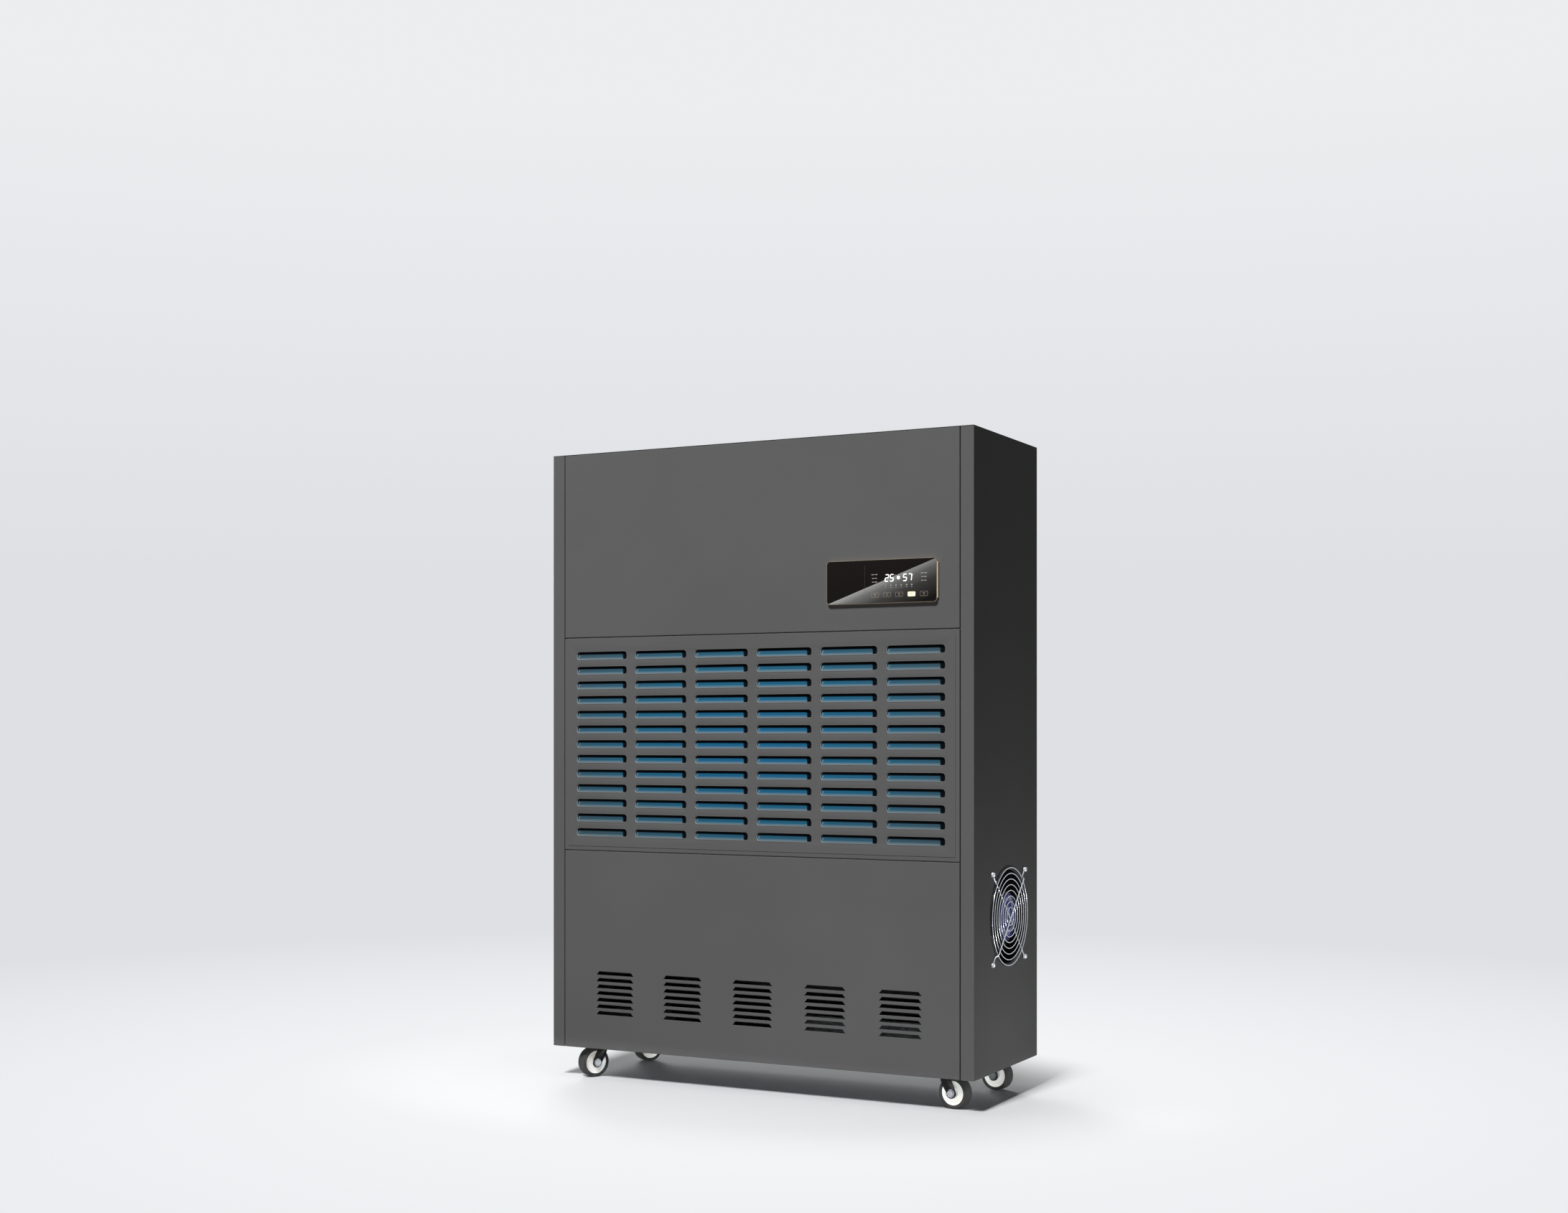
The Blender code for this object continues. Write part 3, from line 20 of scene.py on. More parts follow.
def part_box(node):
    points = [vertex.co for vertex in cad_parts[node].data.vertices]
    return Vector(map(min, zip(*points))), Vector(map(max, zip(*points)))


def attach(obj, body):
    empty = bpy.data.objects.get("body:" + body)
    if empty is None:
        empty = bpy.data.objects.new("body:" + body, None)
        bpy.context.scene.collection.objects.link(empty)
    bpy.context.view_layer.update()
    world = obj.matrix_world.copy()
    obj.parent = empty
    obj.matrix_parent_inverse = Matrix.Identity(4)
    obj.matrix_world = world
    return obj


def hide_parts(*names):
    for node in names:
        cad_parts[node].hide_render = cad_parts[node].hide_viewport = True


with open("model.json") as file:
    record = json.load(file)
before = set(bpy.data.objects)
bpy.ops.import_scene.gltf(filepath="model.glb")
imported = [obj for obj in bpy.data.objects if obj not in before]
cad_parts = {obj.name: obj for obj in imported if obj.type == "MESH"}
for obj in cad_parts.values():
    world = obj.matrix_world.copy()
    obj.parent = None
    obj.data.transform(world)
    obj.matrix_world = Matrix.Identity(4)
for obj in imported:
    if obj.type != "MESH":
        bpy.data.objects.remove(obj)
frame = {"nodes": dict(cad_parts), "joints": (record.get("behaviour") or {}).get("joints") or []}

log = logging.getLogger("dehumidifier")

MM = 0.001
WELD = 0.00001
EASED_DEG = 40.0
FOLD_DEG = 38.0
RIM_ANGLE = 1.2
# Sockets of a node that mixes colours. They go by number, because their names repeat for each type of data.
AMOUNT = 0
BELOW = 6
ABOVE = 7
MIXED = 2
HERE = Matrix.Identity(4)
TO_FRONT = Matrix.Rotation(math.pi / 2, 4, "X")
TO_RIGHT = Matrix(((0, 0, 1, 0), (1, 0, 0, 0), (0, 1, 0, 0), (0, 0, 0, 1)))

Colour = tuple[float, float, float, float]
Edges = list[bmesh.types.BMEdge]
Pair = tuple[float, float]
Points = Sequence[Sequence[float]]
Socket = bpy.types.NodeSocket
Sockets = dict[str, Socket]
Spot = tuple[float, float, float]
Stops = Sequence[tuple[float, Colour]]
Verts = list[bmesh.types.BMVert]


class Corner(Enum):
    """The four corners that carry a caster."""

    FRONT_LEFT = "front_left"
    FRONT_RIGHT = "front_right"
    REAR_LEFT = "rear_left"
    REAR_RIGHT = "rear_right"


class Digit(Enum):
    """Lit segments of the numerals on the display, by the usual letters a to g."""

    TWO = "abged"
    FIVE = "afgcd"
    SEVEN = "abc"


def linear(colour: str) -> Colour:
    """Turn an sRGB hex value to a linear colour.

    Args:
        colour: a value such as "#5b5b5d".

    Returns:
        Linear red, green, blue and an alpha of 1.
    """
    parts = [int(colour[place:place + 2], 16) / 255.0 for place in (1, 3, 5)]
    parts = [part / 12.92 if part <= 0.04045 else ((part + 0.055) / 1.055) ** 2.4 for part in parts]
    return (*parts, 1.0)


def tones(*stops: tuple[float, str]) -> Stops:
    """Stops of a ramp of colours, from places and sRGB hex values."""
    return [(place, linear(colour)) for place, colour in stops]


def levels(*stops: Pair) -> Stops:
    """Stops of a ramp that carries a number, from places and values."""
    return [(place, (level, level, level, 1.0)) for place, level in stops]


def bands(period_mm: float) -> float:
    """Scale of a wave texture for its period, which is a 20th of tau at scale 1."""
    return math.tau / 20.0 / (period_mm * MM)


def add_node(tree: bpy.types.NodeTree, kind: str, inputs: dict[str | int, Any] | None = None,
             out: str | int = 0, stops: Stops = (), **settings: Any) -> Socket:
    """Add a node, set it and link it.

    Args:
        tree: the node tree that takes the node.
        kind: the node's type, without the prefix that shader nodes share.
        inputs: a value, or an output socket to link, for each named or numbered input.
        out: name or number of the output that is wanted.
        stops: places and colours of a ramp.
        settings: attributes of the node.

    Returns:
        The wanted output.
    """
    node = tree.nodes.new(f"ShaderNode{kind}")
    for name, value in settings.items():
        setattr(node, name, value)
    for name, value in (inputs or {}).items():
        if isinstance(value, Socket):
            tree.links.new(value, node.inputs[name])
        else:
            node.inputs[name].default_value = value
    if stops:
        ramp = node.color_ramp.elements
        while len(ramp) > 1:
            ramp.remove(ramp[-1])
        ramp[0].position, ramp[0].color = stops[0]
        for place, colour in stops[1:]:
            ramp.new(place).color = colour
    return node.outputs[out]


@dataclass
class Finish:
    """A finish: its name, the constants of its shader and the detail that it shows."""

    name: str
    colour: str
    roughness: float
    metallic: float = 0.0
    coat: float = 0.0
    shine: float = 0.5
    glow: float = 0.0

    def material(self) -> bpy.types.Material:
        """Make the material the first time it is asked for.

        Returns:
            The finish as a material.
        """
        made = bpy.data.materials.get(self.name)
        if made is None:
            made = bpy.data.materials.new(self.name)
            made.use_nodes = True
            shader = made.node_tree.nodes["Principled BSDF"].inputs
            shader["Base Color"].default_value = linear(self.colour)
            shader["Roughness"].default_value = self.roughness
            shader["Metallic"].default_value = self.metallic
            shader["Coat Weight"].default_value = self.coat
            shader["Specular IOR Level"].default_value = self.shine
            shader["Emission Strength"].default_value = self.glow
            self.add = partial(add_node, made.node_tree)
            self.place = self.add("TexCoord", out="Object")
            for name, socket in self.pattern().items():
                made.node_tree.links.new(socket, shader[name])
        return made

    def pattern(self) -> Sockets:
        """Draw the finish's own detail with self.add, at the point self.place.

        Returns:
            What drives each of the shader's inputs.
        """
        raise NotImplementedError


@dataclass
class Mottled(Finish):
    """A surface with a soft change of tone, a grain in its gloss and a fine relief."""

    second: str = "#000000"
    patch_mm: float = 200.0
    grain_mm: float = 2.0
    relief_mm: float = 0.02
    gloss_spread: float = 0.06

    def pattern(self) -> Sockets:
        """Let the grain move gloss and relief.

        Returns:
            Colour, gloss and relief.
        """
        grain = self.add("TexNoise", {"Vector": self.place, "Scale": 1000.0 / self.grain_mm, "Detail": 2.0})
        gloss = levels((0.3, self.roughness - self.gloss_spread), (0.7, self.roughness + self.gloss_spread))
        return {"Base Color": self.tone(),
                "Roughness": self.add("ValToRGB", {"Fac": grain}, stops=gloss),
                "Normal": self.add("Bump", {"Height": grain, "Distance": self.relief_mm * MM})}

    def tone(self) -> Socket:
        """Mix the two tones in patches."""
        patch = self.add("TexNoise", {"Vector": self.place, "Scale": 1000.0 / self.patch_mm, "Detail": 3.0})
        return self.add("ValToRGB", {"Fac": patch}, stops=tones((0.35, self.colour), (0.65, self.second)))


@dataclass
class PaintedLightCoat(Mottled):
    """A coated edge: painted highlight where it faces right and up, painted shade where it faces left and
    down.
    """

    painted_highlight: str = "#808e94"
    painted_shade: str = "#0b0b0c"
    highlight_faces: Spot = (0.9, 0.0, 0.35)
    highlight_slopes: Pair = (0.1, 0.75)
    shade_slopes: Pair = (-0.05, -0.2)
    highlight_most: float = 0.9

    def tone(self) -> Socket:
        """Lay the painted highlight and the painted shade over the two tones.

        Returns:
            The colour.
        """
        tone = super().tone()
        facing = self.add("NewGeometry", out="Normal")
        slope = self.add("VectorMath", {0: facing, 1: self.highlight_faces}, "Value", operation="DOT_PRODUCT")
        # Painted highlight on faces that turn right and up, painted shade on faces that turn left and down.
        for colour, (start, full), most in ((self.painted_highlight, self.highlight_slopes, self.highlight_most),
                                            (self.painted_shade, self.shade_slopes, 1.0)):
            amount = self.add("MapRange", {"Value": slope, "From Min": start, "From Max": full,
                                           "To Max": most}, interpolation_type="SMOOTHSTEP")
            tone = self.add("Mix", {AMOUNT: amount, BELOW: tone, ABOVE: linear(colour)}, MIXED,
                            data_type="RGBA")
        return tone


@dataclass
class ZincSpangle(Finish):
    """Hot-dip galvanised sheet: crystals of zinc, each with its own grey and gloss."""

    dark: str = "#8e9294"
    bright: str = "#c3c7c9"
    spangle_mm: float = 14.0
    ragged_mm: float = 6.0

    def pattern(self) -> Sockets:
        """Give each crystal its tone.

        Returns:
            Colour and gloss.
        """
        ragged = self.add("TexNoise", {"Vector": self.place, "Scale": 1000.0 / (self.spangle_mm * 0.4),
                                       "Detail": 2.0}, "Color")
        shifted = self.add("VectorMath", {0: ragged, 1: (self.ragged_mm * MM,) * 3, 2: self.place},
                           operation="MULTIPLY_ADD")
        crystal = self.add("TexVoronoi", {"Vector": shifted, "Scale": 1000.0 / self.spangle_mm}, "Color")
        tone = tones((0.1, self.dark), (0.5, self.colour), (0.9, self.bright))
        gloss = levels((0.1, self.roughness - 0.1), (0.9, self.roughness + 0.12))
        return {"Base Color": self.add("ValToRGB", {"Fac": crystal}, stops=tone),
                "Roughness": self.add("ValToRGB", {"Fac": crystal}, stops=gloss)}


@dataclass
class FilterWeave(Finish):
    """Woven polypropylene filter net: crossing threads, drawn blue, greyer towards its frame.

    Behind each slot a pale painted highlight lies low and to the left. Behind the sheet between the
    slots the net takes a dark painted shadow, which shows along each slot's top and right. low_highlight
    and left_highlight say where in a patch the painted highlight begins, where it is strongest and how
    strong it is there.
    """

    core: str = "#185b83"
    rim: str = "#384f5a"
    painted_shadow: str = "#04070b"
    painted_highlight: str = "#7f969f"
    thread_mm: float = 2.6
    relief_mm: float = 0.3
    warp_share: float = 0.25
    middle: Spot = (0.0, 0.0, 0.9135)
    reach: Pair = (0.66, 0.36)
    pitch: Pair = (0.1854, 0.040)
    patch: Pair = (0.162, 0.0202)
    drift: Pair = (-0.0140, -0.0039)
    corner: float = 0.006
    softness: float = 0.0045
    low_highlight: Spot = (0.002, -0.0065, 0.7)
    left_highlight: Spot = (-0.056, -0.065, 0.6)

    def patches(self) -> tuple[Socket, Socket]:
        """Find the patch behind each slot, outside which the net takes the painted shadow.

        Returns:
            The way from the patch's middle, and a value that is 1 in a patch and 0 outside.
        """
        half = Vector((self.pitch[0], 1.0, self.pitch[1])) / 2
        one = (self.middle[0] + self.drift[0] + half.x, half.y, self.middle[2] + self.drift[1])
        core = (self.patch[0] / 2 - self.corner, 1.0, self.patch[1] / 2 - self.corner)
        away = self.add("VectorMath", {0: self.place, 1: one}, operation="SUBTRACT")
        local = self.add("VectorMath", {0: away, 1: half, 2: -half}, operation="WRAP")
        reach = self.add("VectorMath", {0: local}, operation="ABSOLUTE")
        past = self.add("VectorMath", {0: reach, 1: core}, operation="SUBTRACT")
        outside = self.add("VectorMath", {0: past, 1: (0.0, 0.0, 0.0)}, operation="MAXIMUM")
        gap = self.add("VectorMath", {0: outside}, "Value", operation="LENGTH")
        inside = self.add("MapRange", {"Value": gap, "From Min": self.corner,
                                       "From Max": self.corner - self.softness},
                          interpolation_type="SMOOTHSTEP")
        return local, inside

    def painted_light_tone(self) -> Socket:
        """Grey the blue towards the rim and lay the painted highlight and the painted shadow behind the
        slots.

        Returns:
            The colour under the threads.
        """
        centred = self.add("Mapping", {"Vector": self.place, "Location": self.middle,
                                       "Scale": (self.reach[0], 1.0, self.reach[1])}, vector_type="TEXTURE")
        flat = self.add("VectorMath", {0: centred, 1: (1.0, 0.0, 1.0)}, operation="MULTIPLY")
        inner = self.add("TexGradient", {"Vector": flat}, "Fac", gradient_type="SPHERICAL")
        tone = self.add("ValToRGB", {"Fac": inner},
                        stops=tones((0.0, self.rim), (0.45, self.colour), (1.0, self.core)))
        local, inside = self.patches()
        axis = self.add("SeparateXYZ", {"Vector": local}).node.outputs
        # Painted highlight, low and to the left behind each slot.
        painted_highlight = [self.add("MapRange", {"Value": axis[way], "From Min": start, "From Max": full,
                                      "To Max": most}, interpolation_type="SMOOTHSTEP")
                for way, (start, full, most) in (("Z", self.low_highlight), ("X", self.left_highlight))]
        amount = self.add("Math", dict(enumerate(painted_highlight)), operation="MAXIMUM")
        highlighted = self.add("Mix", {AMOUNT: amount, BELOW: tone, ABOVE: linear(self.painted_highlight)}, MIXED,
                         data_type="RGBA")
        # Outside the patches, along each slot's top and right, the net takes the painted shadow.
        return self.add("Mix", {AMOUNT: inside, BELOW: linear(self.painted_shadow), ABOVE: highlighted}, MIXED,
                        data_type="RGBA")

    def pattern(self) -> Sockets:
        """Lay the threads over the blue with its painted highlight and shadow.

        The real threads are under a millimetre apart, so they are drawn coarser to show.

        Returns:
            Colour and relief.
        """
        weft = self.add("TexWave", {"Vector": self.place, "Scale": bands(self.thread_mm), "Distortion": 1.2,
                                    "Detail": 2.0, "Detail Scale": 0.6}, "Fac", bands_direction="Z")
        warp = self.add("TexWave", {"Vector": self.place, "Scale": bands(self.thread_mm)}, "Fac",
                        bands_direction="X")
        threads = self.add("Math", {0: warp, 1: self.warp_share, 2: weft}, operation="MULTIPLY_ADD")
        shade = self.add("ValToRGB", {"Fac": threads}, stops=levels((0.1, 0.9), (0.9, 1.0)))
        woven = self.add("Mix", {AMOUNT: 1.0, BELOW: self.painted_light_tone(), ABOVE: shade}, MIXED, data_type="RGBA",
                         blend_type="MULTIPLY")
        return {"Base Color": woven,
                "Normal": self.add("Bump", {"Height": threads, "Distance": self.relief_mm * MM,
                                            "Strength": 0.3})}


@dataclass
class ReflectionPaintedGlass(Finish):
    """Glass in a deep brown black, with a painted silver reflection below its diagonal."""

    painted_reflection: str = "#a0a09d"
    middle: Spot = (0.0, 0.0, 0.0)
    size: Pair = (0.300, 0.106)
    smear_mm: float = 35.0

    def pattern(self) -> Sockets:
        """Draw the painted reflection below the diagonal and let it fade to the lower right.

        Returns:
            Colour and gloss.
        """
        centred = self.add("Mapping", {"Vector": self.place, "Location": self.middle,
                                       "Scale": (self.size[0], 1.0, self.size[1])}, vector_type="TEXTURE")
        across = self.add("VectorMath", {0: centred, 1: (1.0, 0.0, -1.0)}, "Value", operation="DOT_PRODUCT")
        edge = self.add("ValToRGB", {"Fac": across},
                        stops=levels((0.0, 0.0), (0.006, 1.0), (0.16, 0.46), (0.42, 0.14), (0.85, 0.0)))
        along = self.add("VectorMath", {0: centred, 1: (0.7, 0.0, 0.2)}, "Value", operation="DOT_PRODUCT")
        lift = self.add("Math", {0: along, 1: 0.5}, operation="ADD")
        fade = self.add("ValToRGB", {"Fac": lift}, stops=levels((0.05, 1.0), (0.55, 0.75), (1.0, 0.45)))
        amount = self.add("Math", {0: edge, 1: fade}, operation="MULTIPLY")
        # Painted reflection: silver below the diagonal, fading to the lower right.
        reflection_tone = self.add("Mix", {AMOUNT: amount, BELOW: linear(self.colour), ABOVE: linear(self.painted_reflection)}, MIXED,
                       data_type="RGBA")
        smear = self.add("TexNoise", {"Vector": self.place, "Scale": 1000.0 / self.smear_mm, "Detail": 4.0})
        gloss = levels((0.4, self.roughness), (0.75, self.roughness + 0.08))
        return {"Base Color": reflection_tone, "Roughness": self.add("ValToRGB", {"Fac": smear}, stops=gloss)}


@dataclass
class Brushed(Finish):
    """Metal drawn or brushed one way: fine lines that stretch the highlights."""

    second: str = "#ffffff"
    line_mm: float = 0.6
    relief_mm: float = 0.01
    stretch: Spot = (0.02, 1.0, 1.0)

    def pattern(self) -> Sockets:
        """Stretch a noise along the brushing.

        Returns:
            Colour, gloss and relief.
        """
        drawn = self.add("Mapping", {"Vector": self.place, "Scale": self.stretch})
        lines = self.add("TexNoise", {"Vector": drawn, "Scale": 1000.0 / self.line_mm, "Detail": 3.0})
        tone = tones((0.3, self.colour), (0.7, self.second))
        gloss = levels((0.3, self.roughness - 0.05), (0.7, self.roughness + 0.08))
        return {"Base Color": self.add("ValToRGB", {"Fac": lines}, stops=tone),
                "Roughness": self.add("ValToRGB", {"Fac": lines}, stops=gloss),
                "Normal": self.add("Bump", {"Height": lines, "Distance": self.relief_mm * MM,
                                            "Strength": 0.6})}


@dataclass
class FinStock(Finish):
    """Aluminium fins pressed on copper tubes: thin bright edges with painted shade between them, copper past
    the end plate.
    """

    gap: str = "#2b2d2f"
    copper: str = "#b8704a"
    fin_mm: float = 4.0
    relief_mm: float = 1.0
    plate_x: float = -0.53

    def pattern(self) -> Sockets:
        """Stripe the block across its length. The fins are 2 mm apart, drawn coarser to show.

        Returns:
            Colour and relief.
        """
        fins = self.add("TexWave", {"Vector": self.place, "Scale": bands(self.fin_mm)}, "Fac",
                        bands_direction="X")
        # The gap colour is painted shade between the fins.
        tone = self.add("ValToRGB", {"Fac": fins}, stops=tones((0.2, self.gap), (0.6, self.colour)))
        along = self.add("SeparateXYZ", {"Vector": self.place}, "X")
        past = self.add("Math", {0: along, 1: self.plate_x}, operation="LESS_THAN")
        return {"Base Color": self.add("Mix", {AMOUNT: past, BELOW: tone, ABOVE: linear(self.copper)}, MIXED,
                                       data_type="RGBA"),
                "Normal": self.add("Bump", {"Height": fins, "Distance": self.relief_mm * MM,
                                            "Strength": 0.6})}


@dataclass
class Lamp(Finish):
    """A lit area of the display: light diodes behind a diffuser, with a little unevenness."""

    second: str = "#ffffff"
    cell_mm: float = 4.0

    def pattern(self) -> Sockets:
        """Let the glow vary from diode to diode.

        Returns:
            Colour and glow.
        """
        cells = self.add("TexNoise", {"Vector": self.place, "Scale": 1000.0 / self.cell_mm, "Detail": 1.0})
        light = self.add("ValToRGB", {"Fac": cells}, stops=tones((0.35, self.colour), (0.65, self.second)))
        return {"Base Color": light, "Emission Color": light}


@dataclass
class CircuitLaminate(Finish):
    """Glass-fibre laminate under green solder mask: copper tracks show through as paler lines."""

    second: str = "#1f5a34"
    track: str = "#4f9a63"
    track_mm: float = 6.0

    def pattern(self) -> Sockets:
        """Lay a grid of tracks.

        Returns:
            Colour.
        """
        turned = self.add("Mapping", {"Vector": self.place, "Rotation": (math.pi / 2, 0.0, 0.0)})
        tracks = self.add("TexBrick", {"Vector": turned, "Scale": 1000.0 / self.track_mm,
                                       "Color1": linear(self.colour), "Color2": linear(self.second),
                                       "Mortar": linear(self.track), "Mortar Size": 0.05})
        return {"Base Color": tracks}


@dataclass
class HubLabel(Finish):
    """A printed film label: blue with pale, broken rings about the fan's axis."""

    between: str = "#4b5190"
    pale: str = "#8f96b4"
    middle: Spot = (0.0, 0.0, 0.0)
    ring_mm: float = 30.0

    def pattern(self) -> Sockets:
        """Draw the rings and break them up.

        Returns:
            Colour.
        """
        centred = self.add("Mapping", {"Vector": self.place, "Location": self.middle}, vector_type="TEXTURE")
        rings = self.add("TexWave", {"Vector": centred, "Scale": bands(self.ring_mm), "Distortion": 5.0,
                                     "Detail": 3.0, "Detail Scale": 2.0}, "Fac", wave_type="RINGS",
                         rings_direction="X")
        tone = tones((0.40, self.colour), (0.55, self.between), (0.70, self.pale))
        return {"Base Color": self.add("ValToRGB", {"Fac": rings}, stops=tone)}


COAT_DETAIL = {"shine": 0.01, "second": "#5b5b5c", "patch_mm": 420.0, "grain_mm": 2.4, "relief_mm": 0.012,
               "gloss_spread": 0.05}
# Polyester powder coat on sheet steel, sprayed and baked: a satin grey whose fine orange peel blurs
# reflections.
POWDER_COAT = Mottled("grey_powder_coat", "#585858", 0.55, **COAT_DETAIL)
# The same coat in the slots' rolled edges, with a painted highlight on their left and lower sides and
# painted shade on their upper and right sides.
SLOT_COAT = PaintedLightCoat("powder_coat_painted_light", "#585858", 0.55, **COAT_DETAIL)
# Hot-dip galvanised sheet, bare inside the cabinet: pale crystals with uneven gloss.
GALVANISED = ZincSpangle("galvanised_sheet", "#a9adaf", 0.42, metallic=1.0)
# Gloss stoving enamel on pressed steel: deep black with a slight wave in its reflections.
BLACK_ENAMEL = Mottled("black_stoving_enamel", "#0b0b0c", 0.22, shine=0.18, second="#111113", patch_mm=60.0,
                       grain_mm=5.0)
# Solid rubber tread, moulded and scuffed: dull black with grey dust in its grain.
TYRE_RUBBER = Mottled("tyre_rubber", "#0b0b0d", 0.58, shine=0.08, second="#131316", patch_mm=18.0,
                      grain_mm=1.4, relief_mm=0.05, gloss_spread=0.1)
# Injection-moulded nylon: milky white with a soft sheen.
WHITE_NYLON = Mottled("white_nylon", "#f6f5f2", 0.34, second="#efede8", patch_mm=25.0, grain_mm=1.2,
                      relief_mm=0.01)
# Bright zinc plate on steel: near mirror with a faint blue haze.
ZINC_PLATE = Mottled("bright_zinc_plate", "#cfd2d4", 0.2, metallic=1.0, second="#bfc4ca", patch_mm=12.0,
                     grain_mm=1.0, relief_mm=0.004)
# Moulded ABS with a fine spark-eroded grain: black with a grey bloom.
BLACK_ABS = Mottled("black_abs", "#131315", 0.45, shine=0.2, second="#18181a", patch_mm=80.0, grain_mm=0.9,
                    relief_mm=0.03)
# Extruded rubber hose: black and dull with lengthwise haze.
HOSE_RUBBER = Mottled("drain_hose_rubber", "#161617", 0.55, second="#202022", patch_mm=30.0, relief_mm=0.03,
                      gloss_spread=0.08)
# Drawn copper tube, a little oxidised: warm with brown patches.
COPPER = Mottled("drawn_copper", "#c17a55", 0.28, metallic=1.0, second="#9a5a3c", patch_mm=40.0, grain_mm=1.5,
                 relief_mm=0.006, gloss_spread=0.08)
# Turned brass, lacquered: yellow with fine turning marks.
BRASS = Mottled("turned_brass", "#c9a352", 0.26, metallic=1.0, second="#b58e3f", patch_mm=15.0, grain_mm=0.8,
                relief_mm=0.006)
# Champagne anodised aluminium, brushed along its length: warm pale metal.
CHAMPAGNE = Brushed("champagne_anodised_aluminium", "#d2c2a5", 0.26, metallic=1.0, second="#dacab0")
# Solder-masked laminate behind the control unit: green with paler tracks under a thin gloss.
LAMINATE = CircuitLaminate("circuit_laminate", "#17472a", 0.4, coat=0.4)
# Light diodes of the display: cold white numerals, a warm white key and dim marks.
NUMERAL_LIGHT = Lamp("numeral_light", "#f4f7ff", 0.4, glow=0.9)
KEY_LIGHT = Lamp("lit_key", "#ecdcb4", 0.4, shine=0.1, glow=0.55, second="#f2e6c6")
MARK_LIGHT = Lamp("icon_light", "#8a8a87", 0.4, shine=0.1, glow=0.3, second="#a3a3a0")
# Screen-printed ink on the glass: warm grey line work.
LINE_INK = Mottled("key_line_ink", "#a2978a", 0.4, second="#91877a", patch_mm=12.0, grain_mm=0.8,
                   relief_mm=0.002)
DIVIDER_INK = Mottled("divider_ink", "#4a3f33", 0.4, second="#3c3329", patch_mm=20.0, grain_mm=0.8,
                      relief_mm=0.002)


def arc(centre: Pair, radius: float, start_deg: float, end_deg: float, steps: int) -> list[Pair]:
    """Points of a circular arc from one angle to another, in a number of equal chords."""
    turns = [math.radians(start_deg + (end_deg - start_deg) * step / steps) for step in range(steps + 1)]
    return [(centre[0] + radius * math.cos(turn), centre[1] + radius * math.sin(turn)) for turn in turns]


def mirrored(side: list[Pair]) -> list[Pair]:
    """A closed profile from its upper half."""
    return side + [(radius, -height) for radius, height in reversed(side)]


def spaced(start: float, end: float, count: int) -> list[float]:
    """Evenly spaced values from start to end."""
    return [start + (end - start) * step / (count - 1) for step in range(count)]


def corners_of(drawn: Iterable[Any]) -> Verts:
    """The vertices among what an operator drew."""
    return [item for item in drawn if isinstance(item, bmesh.types.BMVert)]


def edges_between(items: Iterable[Any], verts: Verts) -> Edges:
    """The edges among the items whose ends are both in verts."""
    ends = set(verts)
    return [item for item in items if isinstance(item, bmesh.types.BMEdge) and set(item.verts) <= ends]


def extrude(form: bmesh.types.BMesh, edges: Edges) -> tuple[Verts, Edges]:
    """Extrude a closed row of edges.

    Args:
        form: the bmesh.
        edges: the row.

    Returns:
        Vertices and edges of the new row, still in the old one's place.
    """
    drawn = bmesh.ops.extrude_edge_only(form, edges=edges)["geom"]
    verts = corners_of(drawn)
    return verts, edges_between(drawn, verts)


def add_object(name: str, data: bpy.types.ID) -> bpy.types.Object:
    """Make an object of the scene.

    Args:
        name: its name.
        data: its mesh, light or camera.

    Returns:
        The object.
    """
    made = bpy.data.objects.new(name, data)
    bpy.context.scene.collection.objects.link(made)
    return made


class Loop:
    """A closed flat outline, a circle whose quarters are pushed apart: circle, slot or rounded rectangle."""

    def __init__(self, form: bmesh.types.BMesh, size: Pair, corner: float, points: int,
                 place: Matrix = HERE) -> None:
        """Draw the outline.

        Args:
            form: the bmesh that takes it.
            size: width and height.
            corner: radius of the corners.
            points: points of the whole outline, a multiple of four.
            place: where its plane lies.
        """
        self.form = form
        self.place = place
        self.push = Vector((size[0] / 2 - corner, size[1] / 2 - corner))
        self.radius = corner
        half_step = math.pi / points
        self.verts = bmesh.ops.create_circle(form, cap_ends=False, segments=points,
                                             radius=corner / math.cos(half_step),
                                             matrix=Matrix.Rotation(half_step, 4, "Z"))["verts"]
        for vert in self.verts:
            vert.co.x += math.copysign(self.push.x, vert.co.x)
            vert.co.y += math.copysign(self.push.y, vert.co.y)
        bmesh.ops.transform(form, matrix=place, verts=self.verts)
        self.edges = edges_between(form.edges, self.verts)

    def grow(self, outward: float, lift: float, same_corner: bool = False) -> None:
        """Extrude the outline to a wider or narrower one.

        Args:
            outward: how far the outline moves out in its plane.
            lift: how far it moves along its plane's normal.
            same_corner: whether the corners keep their radius instead of growing with the outline.
        """
        self.verts, self.edges = extrude(self.form, self.edges)
        radius = self.radius if same_corner else self.radius + outward
        push = self.push + Vector((outward, outward)) if same_corner else self.push
        back = self.place.inverted()
        for vert in self.verts:
            spot = back @ vert.co
            side = Vector((math.copysign(1.0, spot.x), math.copysign(1.0, spot.y)))
            flat = side * push + (spot.xy - side * self.push) * radius / self.radius
            vert.co = self.place @ Vector((flat.x, flat.y, spot.z + lift))
        self.radius = radius
        self.push = push

    def follow(self, path: Points, same_corner: bool = False) -> None:
        """Extrude the outline along a path.

        Args:
            path: how far out and how high the outline is at each point, from where it is now.
            same_corner: whether the corners keep their radius.
        """
        for before, here in zip(path, path[1:]):
            self.grow(here[0] - before[0], here[1] - before[1], same_corner)

    def fill(self) -> None:
        """Close the outline with one face."""
        bmesh.ops.contextual_create(self.form, geom=self.edges)


